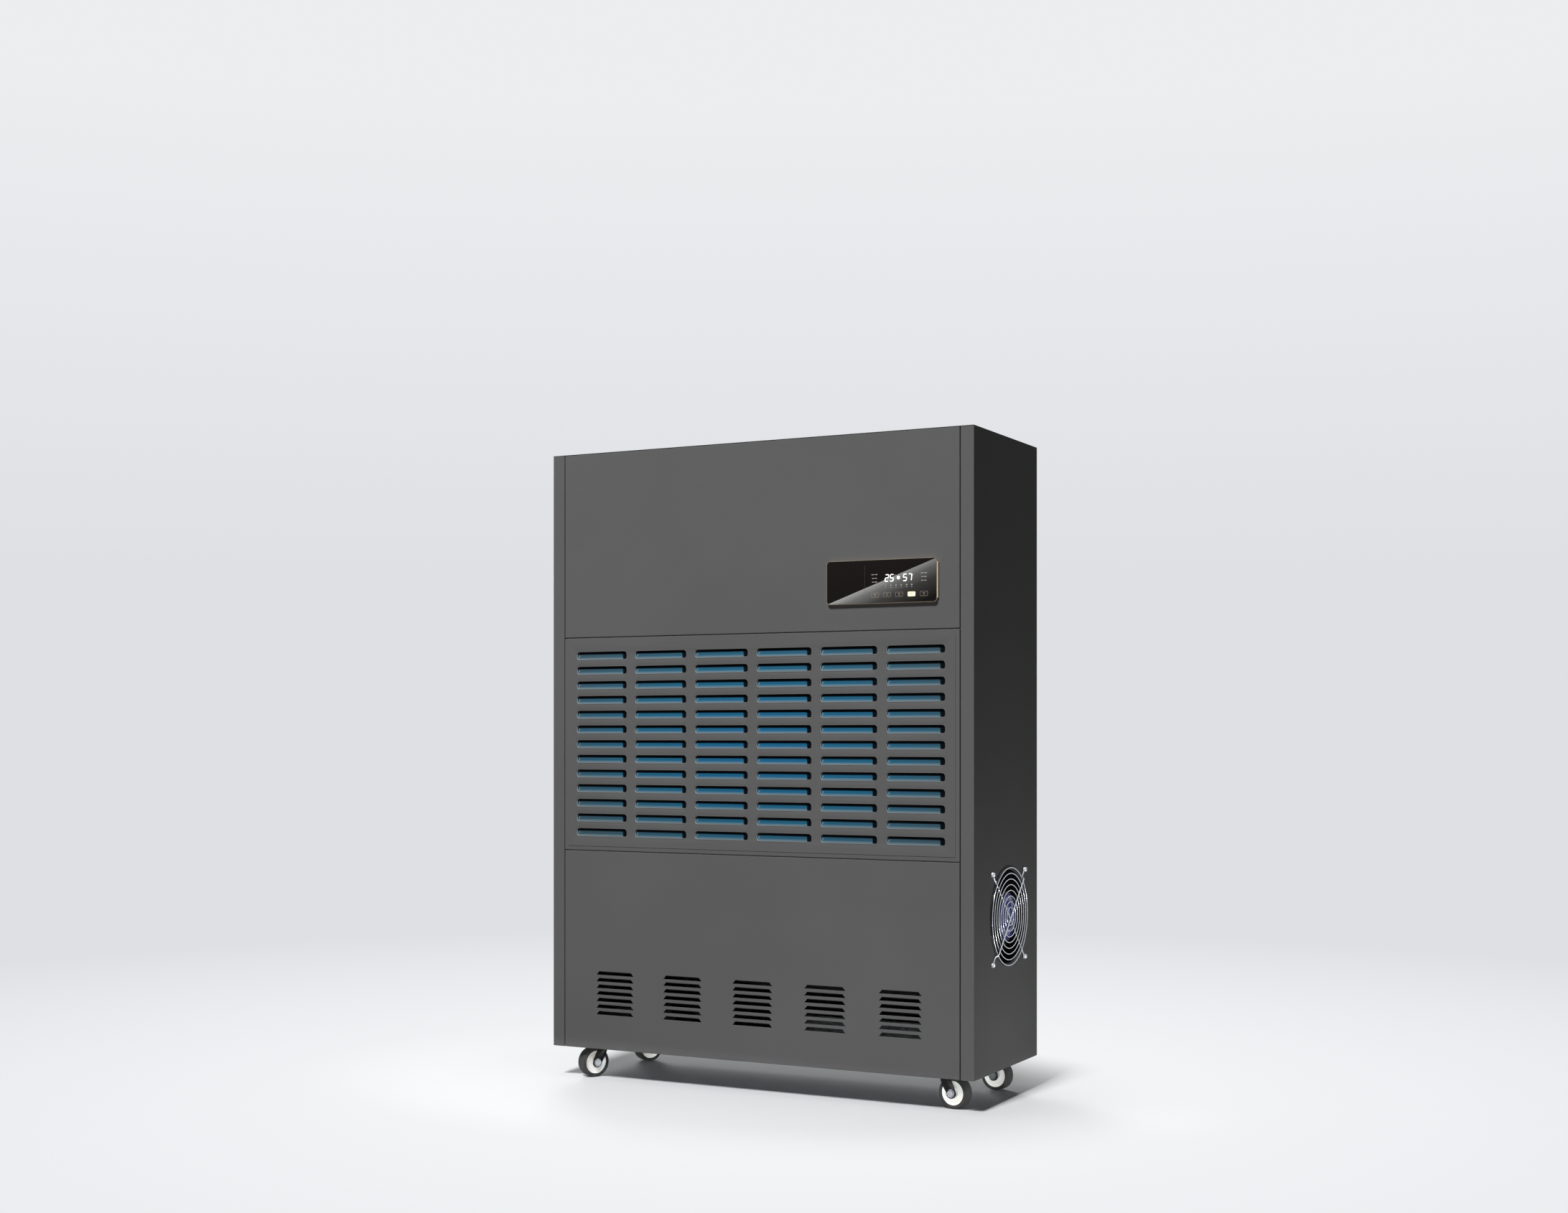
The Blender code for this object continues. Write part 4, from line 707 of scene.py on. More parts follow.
class Shape:
    """A bmesh under work, with the operator chains that several pieces share."""

    def __init__(self) -> None:
        """Start with an empty bmesh."""
        self.form = bmesh.new()

    def slab(self, size: Pair, corner: float, depth: float, place: Matrix, edge: float = 0.0,
             points: int = 24) -> "Shape":
        """Add a closed plate with round corners and a rounded front edge.

        Args:
            size: width and height.
            corner: radius of the corners.
            depth: thickness; the plate rises by it along its plane's normal.
            place: where its back lies.
            edge: radius of the front edge.
            points: points of the outline.

        Returns:
            The shape itself.
        """
        loop = Loop(self.form, size, corner, points, place)
        loop.fill()
        loop.grow(0.0, depth - edge)
        if edge > 0.0:
            loop.follow(arc((-edge, 0.0), edge, 0, 90, 3))
        loop.fill()
        return self

    def turned(self, profile: Points, steps: int, place: Matrix = HERE, closed: bool = False) -> "Shape":
        """Add a shape turned about the local Z axis.

        Args:
            profile: radius and height of each corner of the profile.
            steps: steps of a full turn.
            place: where the axis lies.
            closed: whether the profile is a closed outline.

        Returns:
            The shape itself.
        """
        before = set(self.form.verts)
        knots = [self.form.verts.new((radius, 0.0, height)) for radius, height in profile]
        pairs = list(zip(knots, knots[1:]))
        if closed:
            pairs.append((knots[-1], knots[0]))
        edges = [self.form.edges.new(pair) for pair in pairs]
        bmesh.ops.spin(self.form, geom=knots + edges, cent=(0, 0, 0), axis=(0, 0, 1), angle=math.tau,
                       steps=steps, use_merge=True)
        spun = [vert for vert in self.form.verts if vert not in before]
        bmesh.ops.transform(self.form, matrix=place, verts=spun)
        return self

    def disc(self, radius: float, low: float, high: float, steps: int, place: Matrix = HERE) -> "Shape":
        """Add a disc or rod about the local Z axis, between two heights."""
        return self.turned([(0.0, low), (radius, low), (radius, high), (0.0, high)], steps, place)

    def ring(self, radius: float, level: float, wire: float, steps: int, place: Matrix) -> "Shape":
        """Add a ring of round wire about the local Z axis, from its middle line and the wire's radius."""
        return self.turned(arc((radius, level), wire, 0, 324, 9), steps, place, closed=True)

    def hexagon(self, radius: float, low: float, high: float, chamfer: Pair) -> "Shape":
        """Add a bolt's head about the Z axis, the corners of its high side cut in and down by a chamfer."""
        return self.turned([(0.0, low), (radius, low), (radius, high - chamfer[1]),
                            (radius - chamfer[0], high), (0.0, high)], 6)

    def wire(self, points: Points, radius: float, sides: int) -> "Shape":
        """Add a round wire: a circle extruded from point to point.

        Args:
            points: the middle line.
            radius: radius of the wire.
            sides: points of its section.

        Returns:
            The shape itself.
        """
        route = [Vector(point) for point in points]
        places = []
        for spot, before, after in zip(route, [route[0], *route], [*route[1:], route[-1]]):
            heading = (after - before).normalized()
            places.append(Matrix.Translation(spot) @ heading.to_track_quat("Z", "Y").to_matrix().to_4x4())
        start = bmesh.ops.create_circle(self.form, cap_ends=True, segments=sides, radius=radius,
                                        matrix=places[0])["verts"]
        edges = edges_between(self.form.edges, start)
        for last, here in zip(places, places[1:]):
            verts, edges = extrude(self.form, edges)
            bmesh.ops.transform(self.form, matrix=here @ last.inverted(), verts=verts)
        bmesh.ops.contextual_create(self.form, geom=edges)
        return self

    def raised(self, height: float) -> "Shape":
        """Draw the faces up along Z to a solid.

        Args:
            height: how far they rise.

        Returns:
            The shape itself.
        """
        drawn = bmesh.ops.extrude_face_region(self.form, geom=self.form.faces[:])["geom"]
        bmesh.ops.translate(self.form, vec=(0.0, 0.0, height), verts=corners_of(drawn))
        return self

    def absorb(self, other: "Shape", place: Matrix = HERE) -> "Shape":
        """Add a copy of another shape.

        Args:
            other: the shape to copy.
            place: where the copy goes.

        Returns:
            The shape itself.
        """
        mesh = bpy.data.meshes.new("copy")
        other.form.to_mesh(mesh)
        mesh.transform(place)
        self.form.from_mesh(mesh)
        bpy.data.meshes.remove(mesh)
        return self

    def closed(self) -> "Shape":
        """Merge doubles and turn every face outwards.

        Returns:
            The shape itself.
        """
        bmesh.ops.remove_doubles(self.form, verts=self.form.verts, dist=WELD)
        bmesh.ops.recalc_face_normals(self.form, faces=self.form.faces)
        return self

    def facing_up(self) -> "Shape":
        """Turn an open sheet over if its faces look down.

        Returns:
            The shape itself.
        """
        face = max(self.form.faces, key=lambda item: abs(item.normal.z) * item.calc_area())
        if face.normal.z < 0.0:
            bmesh.ops.reverse_faces(self.form, faces=self.form.faces[:])
        return self

    def piece(self, name: str, finish: Finish, body: str, slot: str, replaced: Iterable[str] = (),
              sharp_deg: float = 35.0) -> bpy.types.Object:
        """Make the shape an object of the model.

        Args:
            name: the piece's name.
            finish: what it is made of.
            body: the body that it rides on.
            slot: the record's material slot; not used.
            replaced: the nodes that it stands for.
            sharp_deg: edges sharper than this stay sharp.

        Returns:
            The piece.
        """
        mesh = bpy.data.meshes.new(name)
        self.form.to_mesh(mesh)
        self.form.free()
        mesh.materials.append(finish.material())
        mesh.shade_smooth()
        mesh.set_sharp_from_angle(angle=math.radians(sharp_deg))
        made = add_object(name, mesh)
        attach(made, body)
        if replaced:
            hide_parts(*replaced)
        log.info("%s: %d faces on %s", name, len(mesh.polygons), body)
        return made


def dress(finish: Finish, *nodes: str, edge: float = 0.0) -> None:
    """Give nodes of the model their finish, with their folds smooth or their edges eased.

    Args:
        finish: what they are made of.
        nodes: the nodes' names.
        edge: radius of their eased edges, or 0 for none.
    """
    for node in nodes:
        made = frame["nodes"][node]
        made.data.materials.clear()
        made.data.materials.append(finish.material())
        made.data.shade_smooth()
        weld = made.modifiers.new("weld", "WELD")
        weld.merge_threshold = WELD
        if edge > 0.0:
            eased = made.modifiers.new("eased_edge", "BEVEL")
            eased.width = edge
            eased.segments = 2
            eased.limit_method = "ANGLE"
            eased.angle_limit = math.radians(EASED_DEG)
            made.modifiers.new("flat_faces", "WEIGHTED_NORMAL")
        else:
            split = made.modifiers.new("fold", "EDGE_SPLIT")
            split.split_angle = math.radians(FOLD_DEG)
        log.info("%s dressed in %s", node, finish.name)


def joint_spot(name: str) -> Vector:
    """Where the record's joint of that name lies."""
    return Vector(next(entry for entry in frame["joints"] if entry["name"] == name)["pos_m"])


@dataclass
class Screw:
    """A round-headed screw with a socket."""

    radius: float = 0.0045
    height: float = 0.0026
    socket: float = 0.0018
    sunk: float = 0.0004

    def shape(self) -> Shape:
        """Turn the head about Z, its flat side just under 0 and a socket in its crown.

        Returns:
            The head.
        """
        crown = [(self.radius * x, self.height * y) for x, y in arc((0.0, 0.0), 1.0, 0, 60, 4)]
        floor = self.height * 0.45
        profile = [(0.0, -self.sunk), (self.radius, -self.sunk), *crown, (self.socket, self.height),
                   (self.socket * 0.9, floor), (0.0, floor)]
        return Shape().turned(profile, 18).closed()


@dataclass
class Cabinet:
    """The sheet-metal housing: walls, plain front panels, rails, base and the inner decks."""

    fold: float = 0.0005
    screw_inset: float = 0.014
    screws_across: int = 5
    screws_up: int = 6

    def build(self) -> None:
        """Give every sheet its finish, and screw the rear panel on along its four edges."""
        dress(POWDER_COAT, "left_side_panel", "right_side_panel", "rear_panel", "top_panel",
              "upper_front_panel", "lower_front_panel", "electrical_box", edge=self.fold)
        dress(GALVANISED, "base_tray", "upper_front_rail", "lower_front_rail", "coil_deck", "blower_deck",
              "condensate_tray")
        low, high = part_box("rear_panel")
        xs = spaced(low.x + self.screw_inset, high.x - self.screw_inset, self.screws_across)
        zs = spaced(low.z + self.screw_inset, high.z - self.screw_inset, self.screws_up)
        spots = [(x, z) for x in xs for z in zs if x in (xs[0], xs[-1]) or z in (zs[0], zs[-1])]
        head = Screw().shape()
        rows = Shape()
        for x, z in spots:
            rows.absorb(head, Matrix.Translation((x, high.y, z)) @ TO_FRONT.inverted())
        rows.piece("rear_screws", ZINC_PLATE, "cabinet", "zinc_plate")


@dataclass
class IntakeGrille:
    """The intake panel with its slots rolled inwards, and the filter in its back."""

    columns: int = 6
    rows: int = 13
    pitch: Pair = (0.1854, 0.040)
    slot: Pair = (0.162, 0.0244)
    slot_corner: float = 0.0096
    slot_points: int = 32
    lip_radius: float = 0.003
    lip_depth: float = 0.0048
    border: float = 0.010
    field_corner: float = 0.0008
    field_points: int = 16
    rise: float = 0.001
    step_width: float = 0.0003
    fold: float = 0.0012
    sheet: float = 0.0012
    sharp_deg: float = 32.0
    bulge: float = 0.0026
    net_corner: float = 0.003

    def lip(self) -> Shape:
        """Roll one slot's edge inwards, drawn about the origin and facing +Z.

        Returns:
            The lip, open at both ends.
        """
        made = Shape()
        loop = Loop(made.form, self.slot, self.slot_corner, self.slot_points)
        loop.follow(arc((0.0, 0.0), self.lip_radius, 90, 180, 5))
        loop.grow(0.0, self.lip_radius - self.lip_depth)
        return made.closed().facing_up()

    def build_panel(self) -> None:
        """Roll the slots' lips, fill the field between them, then step and fold its rim."""
        low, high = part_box("intake_panel")
        middle = (low + high) / 2
        place = Matrix.Translation((middle.x, low.y, middle.z)) @ TO_FRONT
        lip = self.lip()
        lips = Shape()
        made = Shape()
        rims: Edges = []
        for column in range(self.columns):
            for row in range(self.rows):
                across = (column - (self.columns - 1) / 2) * self.pitch[0]
                up = (row - (self.rows - 1) / 2) * self.pitch[1]
                spot = Matrix.Translation((across, up, 0.0))
                lips.absorb(lip, place @ spot)
                rims += Loop(made.form, self.slot, self.slot_corner, self.slot_points, spot).edges
        inset = self.border + self.fold
        field = (high.x - low.x - 2 * inset, high.z - low.z - 2 * inset)
        loop = Loop(made.form, field, self.field_corner, self.field_points)
        bmesh.ops.triangle_fill(made.form, use_beauty=True, use_dissolve=False, edges=rims + loop.edges,
                                normal=(0.0, 0.0, 1.0))
        loop.follow([(0.0, 0.0), (self.step_width, -self.rise), (self.border, -self.rise)], same_corner=True)
        loop.follow(arc((0.0, -self.fold), self.fold, 90, 0, 3), same_corner=True)
        loop.grow(0.0, -(high.y - low.y - self.rise - self.fold))
        made.closed().facing_up()
        bmesh.ops.transform(made.form, matrix=place, verts=made.form.verts)
        panel = made.piece("intake_grille", POWDER_COAT, "intake_panel", "grey_paint", ("intake_panel",),
                           sharp_deg=self.sharp_deg)
        edges = lips.piece("slot_lips", SLOT_COAT, "intake_panel", "grey_paint", sharp_deg=self.sharp_deg)
        for sheet in (panel, edges):
            wall = sheet.modifiers.new("sheet", "SOLIDIFY")
            wall.thickness = self.sheet
            wall.offset = -1.0
        flat = panel.modifiers.new("flat_faces", "WEIGHTED_NORMAL")
        flat.keep_sharp = True

    def build_filter(self) -> None:
        """Stretch the net in its frame, with the soft bulge that brings it close to the slots."""
        low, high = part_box("filter_mesh")
        middle = (low + high) / 2
        # Woven polypropylene net: blue threads, greyer towards the frame, with painted highlight and shadow
        # behind the slots.
        weave = FilterWeave("blue_filter_weave", "#205a76", 0.62, shine=0.03, middle=tuple(middle),
                            pitch=self.pitch)
        place = Matrix.Translation((middle.x, high.y, middle.z)) @ TO_FRONT
        net = Shape().slab((high.x - low.x, high.z - low.z), self.net_corner, high.y - low.y + self.bulge,
                           place, edge=self.bulge)
        net.closed().piece("filter_net", weave, "intake_panel", "blue_filter_mesh", ("filter_mesh",))
        dress(BLACK_ABS, "filter_frame")

    def build(self) -> None:
        """Build the panel and its filter."""
        self.build_panel()
        self.build_filter()


@dataclass
class ControlUnit:
    """The touch control: a glass in a metal bezel, with a lit display and printed keys.

    Places on the glass, the fields in u and v, are shares of the bezel's width and height from its lower
    left corner. Bars are given by their length and stroke.
    """

    chamfer: float = 0.010
    outline_points: int = 8
    wall: float = 0.0005
    ease: Pair = (0.0002, 0.0003)
    gap: float = 0.0003
    pocket: float = 0.0043
    trim: float = 0.0024
    glass_edge: float = 0.0009
    sharp_deg: float = 25.0
    lamp_height: float = 0.0001
    digit: Pair = (0.0108, 0.0185)
    stroke: float = 0.0021
    slant: float = 0.10
    numerals_u: tuple[tuple[Digit, float], ...] = ((Digit.TWO, 0.552), (Digit.FIVE, 0.597),
                                                   (Digit.FIVE, 0.716), (Digit.SEVEN, 0.761))
    numerals_v: float = 0.573
    frost_u: float = 0.657
    frost_spoke: Pair = (0.0098, 0.0009)
    frost_twig: Pair = (0.0026, 0.0007)
    twig_shift: Pair = (0.0034, 0.0008)
    icons_u: tuple[tuple[float, int], ...] = ((0.542, 3), (0.589, 4), (0.635, 5), (0.681, 6), (0.731, 8),
                                              (0.776, 12))
    icons_v: float = 0.405
    icon_radius: float = 0.0019
    icon_lines_v: float = 0.355
    icon_line: Pair = (0.0044, 0.0008)
    units_u: Pair = (0.626, 0.789)
    units_v: float = 0.64
    unit: Pair = (0.0022, 0.0012)
    captions_u: Pair = (0.44, 0.885)
    captions_v: tuple[Pair, ...] = ((0.66, 0.019), (0.575, 0.016), (0.49, 0.016))
    caption_stroke: float = 0.0016
    key: Pair = (0.0205, 0.0116)
    key_corner: float = 0.002
    key_line: float = 0.0005
    keys_u: tuple[float, ...] = (0.4456, 0.555, 0.664, 0.885)
    keys_v: float = 0.19
    lit_key_u: float = 0.775
    lit_key_corner: float = 0.0018
    signs_v: tuple[tuple[float, Pair], ...] = ((0.205, (0.007, 0.0013)), (0.17, (0.005, 0.0008)))
    divider: Pair = (0.0004, 0.070)
    divider_corner: float = 0.00019
    divider_uv: Pair = (0.351, 0.56)

    def __post_init__(self) -> None:
        """Read the glass and the bezel from the frame."""
        self.low, self.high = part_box("control_bezel")
        self.glass_low, self.glass_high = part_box("control_glass")
        self.middle = (self.low + self.high) / 2

    def at(self, u: float, v: float) -> Matrix:
        """Place on the glass.

        Args:
            u: share of the bezel's width from its left.
            v: share of its height from its lower edge.

        Returns:
            A frame that faces the viewer, its plane a little inside the glass.
        """
        x = self.low.x + (self.high.x - self.low.x) * u
        z = self.low.z + (self.high.z - self.low.z) * v
        return Matrix.Translation((x, self.glass_low.y + self.lamp_height / 2, z)) @ TO_FRONT

    def build_case(self) -> None:
        """Make the bezel with its pocket, the trim rod on its right and the glass with its polished edge."""
        width, depth, height = self.high - self.low
        place = Matrix.Translation((self.middle.x, self.high.y, self.middle.z)) @ TO_FRONT
        made = Shape()
        loop = Loop(made.form, (width, height), self.chamfer, self.outline_points, place)
        loop.fill()
        loop.follow([(0.0, 0.0), (0.0, depth - self.ease[1]), (-self.ease[0], depth), (-self.wall, depth),
                     (-self.wall, depth - self.pocket)])
        loop.fill()
        made.closed().piece("control_bezel_ring", CHAMPAGNE, "cabinet", "champagne_metal", ("control_bezel",),
                            sharp_deg=self.sharp_deg)
        ends = [(self.high.x, self.middle.y, z)
                for z in (self.low.z + self.chamfer, self.high.z - self.chamfer)]
        trim = Shape().wire(ends, self.trim, sides=20)
        trim.closed().piece("control_trim", CHAMPAGNE, "cabinet", "champagne_metal", sharp_deg=40.0)
        inset = self.wall + self.gap
        size = (width - 2 * inset, height - 2 * inset)
        place = Matrix.Translation((self.middle.x, self.glass_high.y, self.middle.z)) @ TO_FRONT
        # Float glass: near black, with a painted silver reflection below its diagonal.
        glass = ReflectionPaintedGlass("control_glass_painted_reflection", "#0f0b08", 0.06, shine=0.1, size=size,
                             middle=tuple(self.middle))
        pane = Shape().slab(size, self.chamfer - inset, self.glass_high.y - self.glass_low.y, place,
                            edge=self.glass_edge, points=self.outline_points)
        pane.closed().piece("control_pane", glass, "cabinet", "black_glass", ("control_glass",),
                            sharp_deg=self.sharp_deg)
        dress(LAMINATE, "control_board")

    def bar(self, shape: Shape, size: Pair, place: Matrix, depth: float | None = None) -> None:
        """Add a lit bar with pointed ends.

        Args:
            shape: the shape that takes it.
            size: its length along local X and its width.
            place: its middle.
            depth: how far it rises, or None for a lamp's height.
        """
        made = Shape()
        length, stroke = size
        radius = stroke / math.sqrt(3)
        verts = bmesh.ops.create_circle(made.form, cap_ends=True, segments=6, radius=radius,
                                        matrix=Matrix.Rotation(math.pi / 2, 4, "Z"))["verts"]
        for vert in verts:
            vert.co.x += math.copysign(max(length / 2 - radius, 0.0), vert.co.x)
        shape.absorb(made.raised(depth or self.lamp_height).closed(), place)

    def numeral(self, shape: Shape, digit: Digit, place: Matrix) -> None:
        """Add one seven-segment numeral.

        Args:
            shape: the shape that takes it.
            digit: which numeral.
            place: its middle.
        """
        width, height = self.digit
        half = (height - self.stroke) / 4
        side = (width - self.stroke) / 2
        spots = {"a": (0.0, 2 * half, 0), "g": (0.0, 0.0, 0), "d": (0.0, -2 * half, 0), "b": (side, half, 90),
                 "c": (side, -half, 90), "f": (-side, half, 90), "e": (-side, -half, 90)}
        slant = Matrix(((1, self.slant, 0, 0), (0, 1, 0, 0), (0, 0, 1, 0), (0, 0, 0, 1)))
        for letter in digit.value:
            x, y, turn = spots[letter]
            length = 2 * (side if turn == 0 else half) - self.stroke * 0.15
            lay = Matrix.Translation((x, y, 0.0)) @ Matrix.Rotation(math.radians(turn), 4, "Z")
            self.bar(shape, (length, self.stroke), place @ slant @ lay)

    def frost(self, shape: Shape) -> None:
        """Add the frost sign: three spokes with a forked twig at each end.

        Args:
            shape: the shape that takes it.
        """
        for turn in (90, 150, 210):
            spoke = self.at(self.frost_u, self.numerals_v) @ Matrix.Rotation(math.radians(turn), 4, "Z")
            self.bar(shape, self.frost_spoke, spoke)
            for end in (-1, 1):
                for fork in (-1, 1):
                    twig = Matrix.Translation((end * self.twig_shift[0], fork * self.twig_shift[1], 0.0))
                    lean = Matrix.Rotation(math.radians(45 * fork * end), 4, "Z")
                    self.bar(shape, self.frost_twig, spoke @ twig @ lean)

    def build_display(self) -> None:
        """Light the numerals, the frost sign between them and the small marks around."""
        lit = Shape()
        for digit, u in self.numerals_u:
            self.numeral(lit, digit, self.at(u, self.numerals_v))
        self.frost(lit)
        lit.piece("display_numerals", NUMERAL_LIGHT, "cabinet", "black_glass")
        marks = Shape()
        for u, sides in self.icons_u:
            icon = Shape().disc(self.icon_radius, 0.0, self.lamp_height, sides)
            marks.absorb(icon.closed(), self.at(u, self.icons_v))
            self.bar(marks, self.icon_line, self.at(u, self.icon_lines_v))
        for u in self.units_u:
            self.bar(marks, self.unit, self.at(u, self.units_v))
        for u in self.captions_u:
            for v, length in self.captions_v:
                for part in (-0.25, 0.25):
                    shift = Matrix.Translation((part * length, 0.0, 0.0))
                    self.bar(marks, (length * 0.4, self.caption_stroke), self.at(u, v) @ shift)
        marks.piece("display_marks", MARK_LIGHT, "cabinet", "black_glass")

    def build_keys(self) -> None:
        """Print the key outlines with a small sign each, the divider, and light one key."""
        height = self.lamp_height
        outlines = Shape()
        for u in self.keys_u:
            ring = Shape()
            loop = Loop(ring.form, self.key, self.key_corner, 24)
            loop.follow([(0.0, 0.0), (0.0, height), (-self.key_line, height), (-self.key_line, 0.0)])
            outlines.absorb(ring.closed(), self.at(u, self.keys_v))
            for v, size in self.signs_v:
                self.bar(outlines, size, self.at(u, v))
        outlines.piece("key_outlines", LINE_INK, "cabinet", "black_glass")
        key = Shape().slab(self.key, self.lit_key_corner, height * 1.5, self.at(self.lit_key_u, self.keys_v))
        key.closed().piece("lit_key", KEY_LIGHT, "cabinet", "black_glass")
        signs = Shape()
        for v, size in self.signs_v:
            self.bar(signs, size, self.at(self.lit_key_u, v), height * 2)
        signs.piece("lit_key_sign", LINE_INK, "cabinet", "black_glass")
        divider = Shape().slab(self.divider, self.divider_corner, height, self.at(*self.divider_uv))
        divider.closed().piece("glass_divider", DIVIDER_INK, "cabinet", "black_glass")

    def build(self) -> None:
        """Build the case, the display and the keys."""
        self.build_case()
        self.build_display()
        self.build_keys()


@dataclass
class SideFan:
    """The axial fan in the right side: wire guard, impeller, venturi and its screws."""

    gap: float = 0.0003
    wire: float = 0.0017
    ring_wire: float = 0.0013
    cross_wire: float = 0.001955
    rings: int = 8
    ring_pitch: float = 0.01457
    outer: float = 0.1253
    standoff: float = 0.0042
    cross_turns_deg: Pair = (45, 135)
    mouth: Pair = (0.1205, 0.1262)
    mouth_depth: float = 0.010
    mouth_lip: float = 0.0012
    mouth_gap: float = 0.0002
    ear_reach: float = 0.161
    ear_radius: float = 0.0058
    ear_overlap: float = 0.004
    screw_lift: float = 0.0030
    shank: float = 0.0038
    hub_radius: float = 0.064
    hub_edge: float = 0.004
    label_radius: float = 0.0595
    film: float = 0.0002
    bore: float = 0.0057
    bore_end: float = 0.015
    blades: int = 5
    blade_tip: float = 0.116
    blade_root: float = 0.003
    blade_sheet: float = 0.0022
    blade_arcs: Pair = (0.72, 0.82)
    blade_rises: Pair = (0.036, 0.028)
    blade_sweep: float = 0.25
    blade_drop: float = 0.003
    camber: float = 0.006

    def __post_init__(self) -> None:
        """Read the axis and the wall from the frame."""
        self.axis = joint_spot("side_fan_spin")
        wall_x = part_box("right_side_panel")[1].x
        self.place = Matrix.Translation((wall_x, self.axis.y, self.axis.z)) @ TO_RIGHT

    def lay(self, turn_deg: float, reach: float = 0.0, lift: float = 0.0) -> Matrix:
        """A frame on the wall: X leads away from the fan's axis that way, and Z leads out of the wall."""
        turn = Matrix.Rotation(math.radians(turn_deg), 4, "Z")
        return self.place @ turn @ Matrix.Translation((reach, 0.0, lift))

    def build_guard(self) -> None:
        """Bend the guard's rings and its two stepped cross wires, one over and one under the rings."""
        made = Shape()
        low = self.gap + self.wire
        level = low + self.standoff
        for ring in range(self.rings):
            radius = self.outer - ring * self.ring_pitch
            made.ring(radius, level, self.ring_wire, max(28, round(72 * radius / self.outer)), self.place)
        run = self.outer + 0.002
        for turn, over in zip(self.cross_turns_deg, (1.9, -1.9)):
            high = level + self.wire * over
            steps = [(-self.ear_reach + self.ear_overlap, low), (-run - 0.011, low),
                     (-run - 0.008, low + 0.001), (-run - 0.002, high - 0.001), (-run + 0.001, high)]
            steps += [(-reach, lift) for reach, lift in reversed(steps)]
            made.wire([self.lay(turn, reach, lift).translation for reach, lift in steps], self.cross_wire,
                      sides=10)
            for end in (-1, 1):
                made.ring(self.ear_radius, 0.0, self.wire, 28, self.lay(turn, end * self.ear_reach, low))
        made.closed().piece("fan_guard", ZINC_PLATE, "cabinet", "zinc_plate", ("side_fan_guard",),
                            sharp_deg=50.0)

    def build_ring(self) -> None:
        """Turn the venturi's mouth ring, which lines the opening in the wall."""
        inner, outer = self.mouth
        lip = self.mouth_lip
        section = [(inner, -self.mouth_depth), (inner, -lip / 2), *arc((inner + lip, 0.0), lip, 180, 90, 3),
                   (outer, lip), (outer, self.mouth_gap), (inner + lip, self.mouth_gap),
                   (inner + lip, -self.mouth_depth)]
        made = Shape().turned(section, 96, self.place, closed=True)
        made.closed().piece("fan_mouth_ring", BLACK_ABS, "cabinet", "black_plastic", sharp_deg=40.0)

    def build_screws(self) -> None:
        """Set a round-headed screw in each of the guard's four eyes."""
        made = Shape()
        head = Screw(radius=0.0070, height=0.0068).shape()
        for turn in (45, 135, 225, 315):
            made.absorb(head, self.lay(turn, self.ear_reach, self.screw_lift))
            made.disc(self.shank, 0.0, self.screw_lift, 16, self.lay(turn, self.ear_reach))
        made.closed().piece("guard_screws", ZINC_PLATE, "cabinet", "zinc_plate")

    def blade(self, number: int) -> Shape:
        """Bend one cambered blade from a grid, its chord's arc and rise blended from root to tip.

        Args:
            number: which blade, from 0.

        Returns:
            The blade about the Z axis.
        """
        made = Shape()
        bmesh.ops.create_grid(made.form, x_segments=10, y_segments=10, size=0.5)
        for vert in made.form.verts:
            out = vert.co.x + 0.5
            chord = vert.co.y
            radius = self.hub_radius - self.blade_root + out * (self.blade_tip - self.hub_radius)
            turn, rise = (root + (tip - root) * out for root, tip in (self.blade_arcs, self.blade_rises))
            angle = math.tau * number / self.blades + chord * turn + self.blade_sweep * out
            height = chord * rise - self.blade_drop + self.camber * (0.25 - chord * chord)
            vert.co = (radius * math.cos(angle), radius * math.sin(angle), height)
        bmesh.ops.solidify(made.form, geom=made.form.faces[:], thickness=self.blade_sheet)
        return made.closed()

    def build_rotor(self) -> None:
        """Turn the hub, set the blades about it and lay the label on it."""
        low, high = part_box("side_fan_rotor")
        place = Matrix.Translation(self.axis) @ TO_RIGHT
        front = high.x - self.axis.x
        back = low.x - self.axis.x
        edge = self.hub_edge
        profile = [(self.bore, back), (self.hub_radius, back), (self.hub_radius, front - edge),
                   *arc((self.hub_radius - edge, front - edge), edge, 0, 90, 5), (0.0, front),
                   (0.0, self.bore_end), (self.bore, self.bore_end)]
        made = Shape().turned(profile, 64, place, closed=True).closed()
        for number in range(self.blades):
            made.absorb(self.blade(number), place)
        made.piece("fan_impeller", BLACK_ABS, "side_fan_rotor", "black_plastic", ("side_fan_rotor",),
                   sharp_deg=40.0)
        label = Shape().disc(self.label_radius, front, front + self.film, 64, place)
        # Printed polyester film: deep blue with pale, worn rings.
        film = HubLabel("hub_label_film", "#0d0d72", 0.35, shine=0.08, middle=tuple(self.axis))
        label.closed().piece("hub_label", film, "side_fan_rotor", "black_plastic")

    def build(self) -> None:
        """Build the guard, the mouth ring, the screws and the rotor, and dress the frame."""
        self.build_guard()
        self.build_ring()
        self.build_screws()
        self.build_rotor()
        dress(BLACK_ABS, "side_fan_frame")


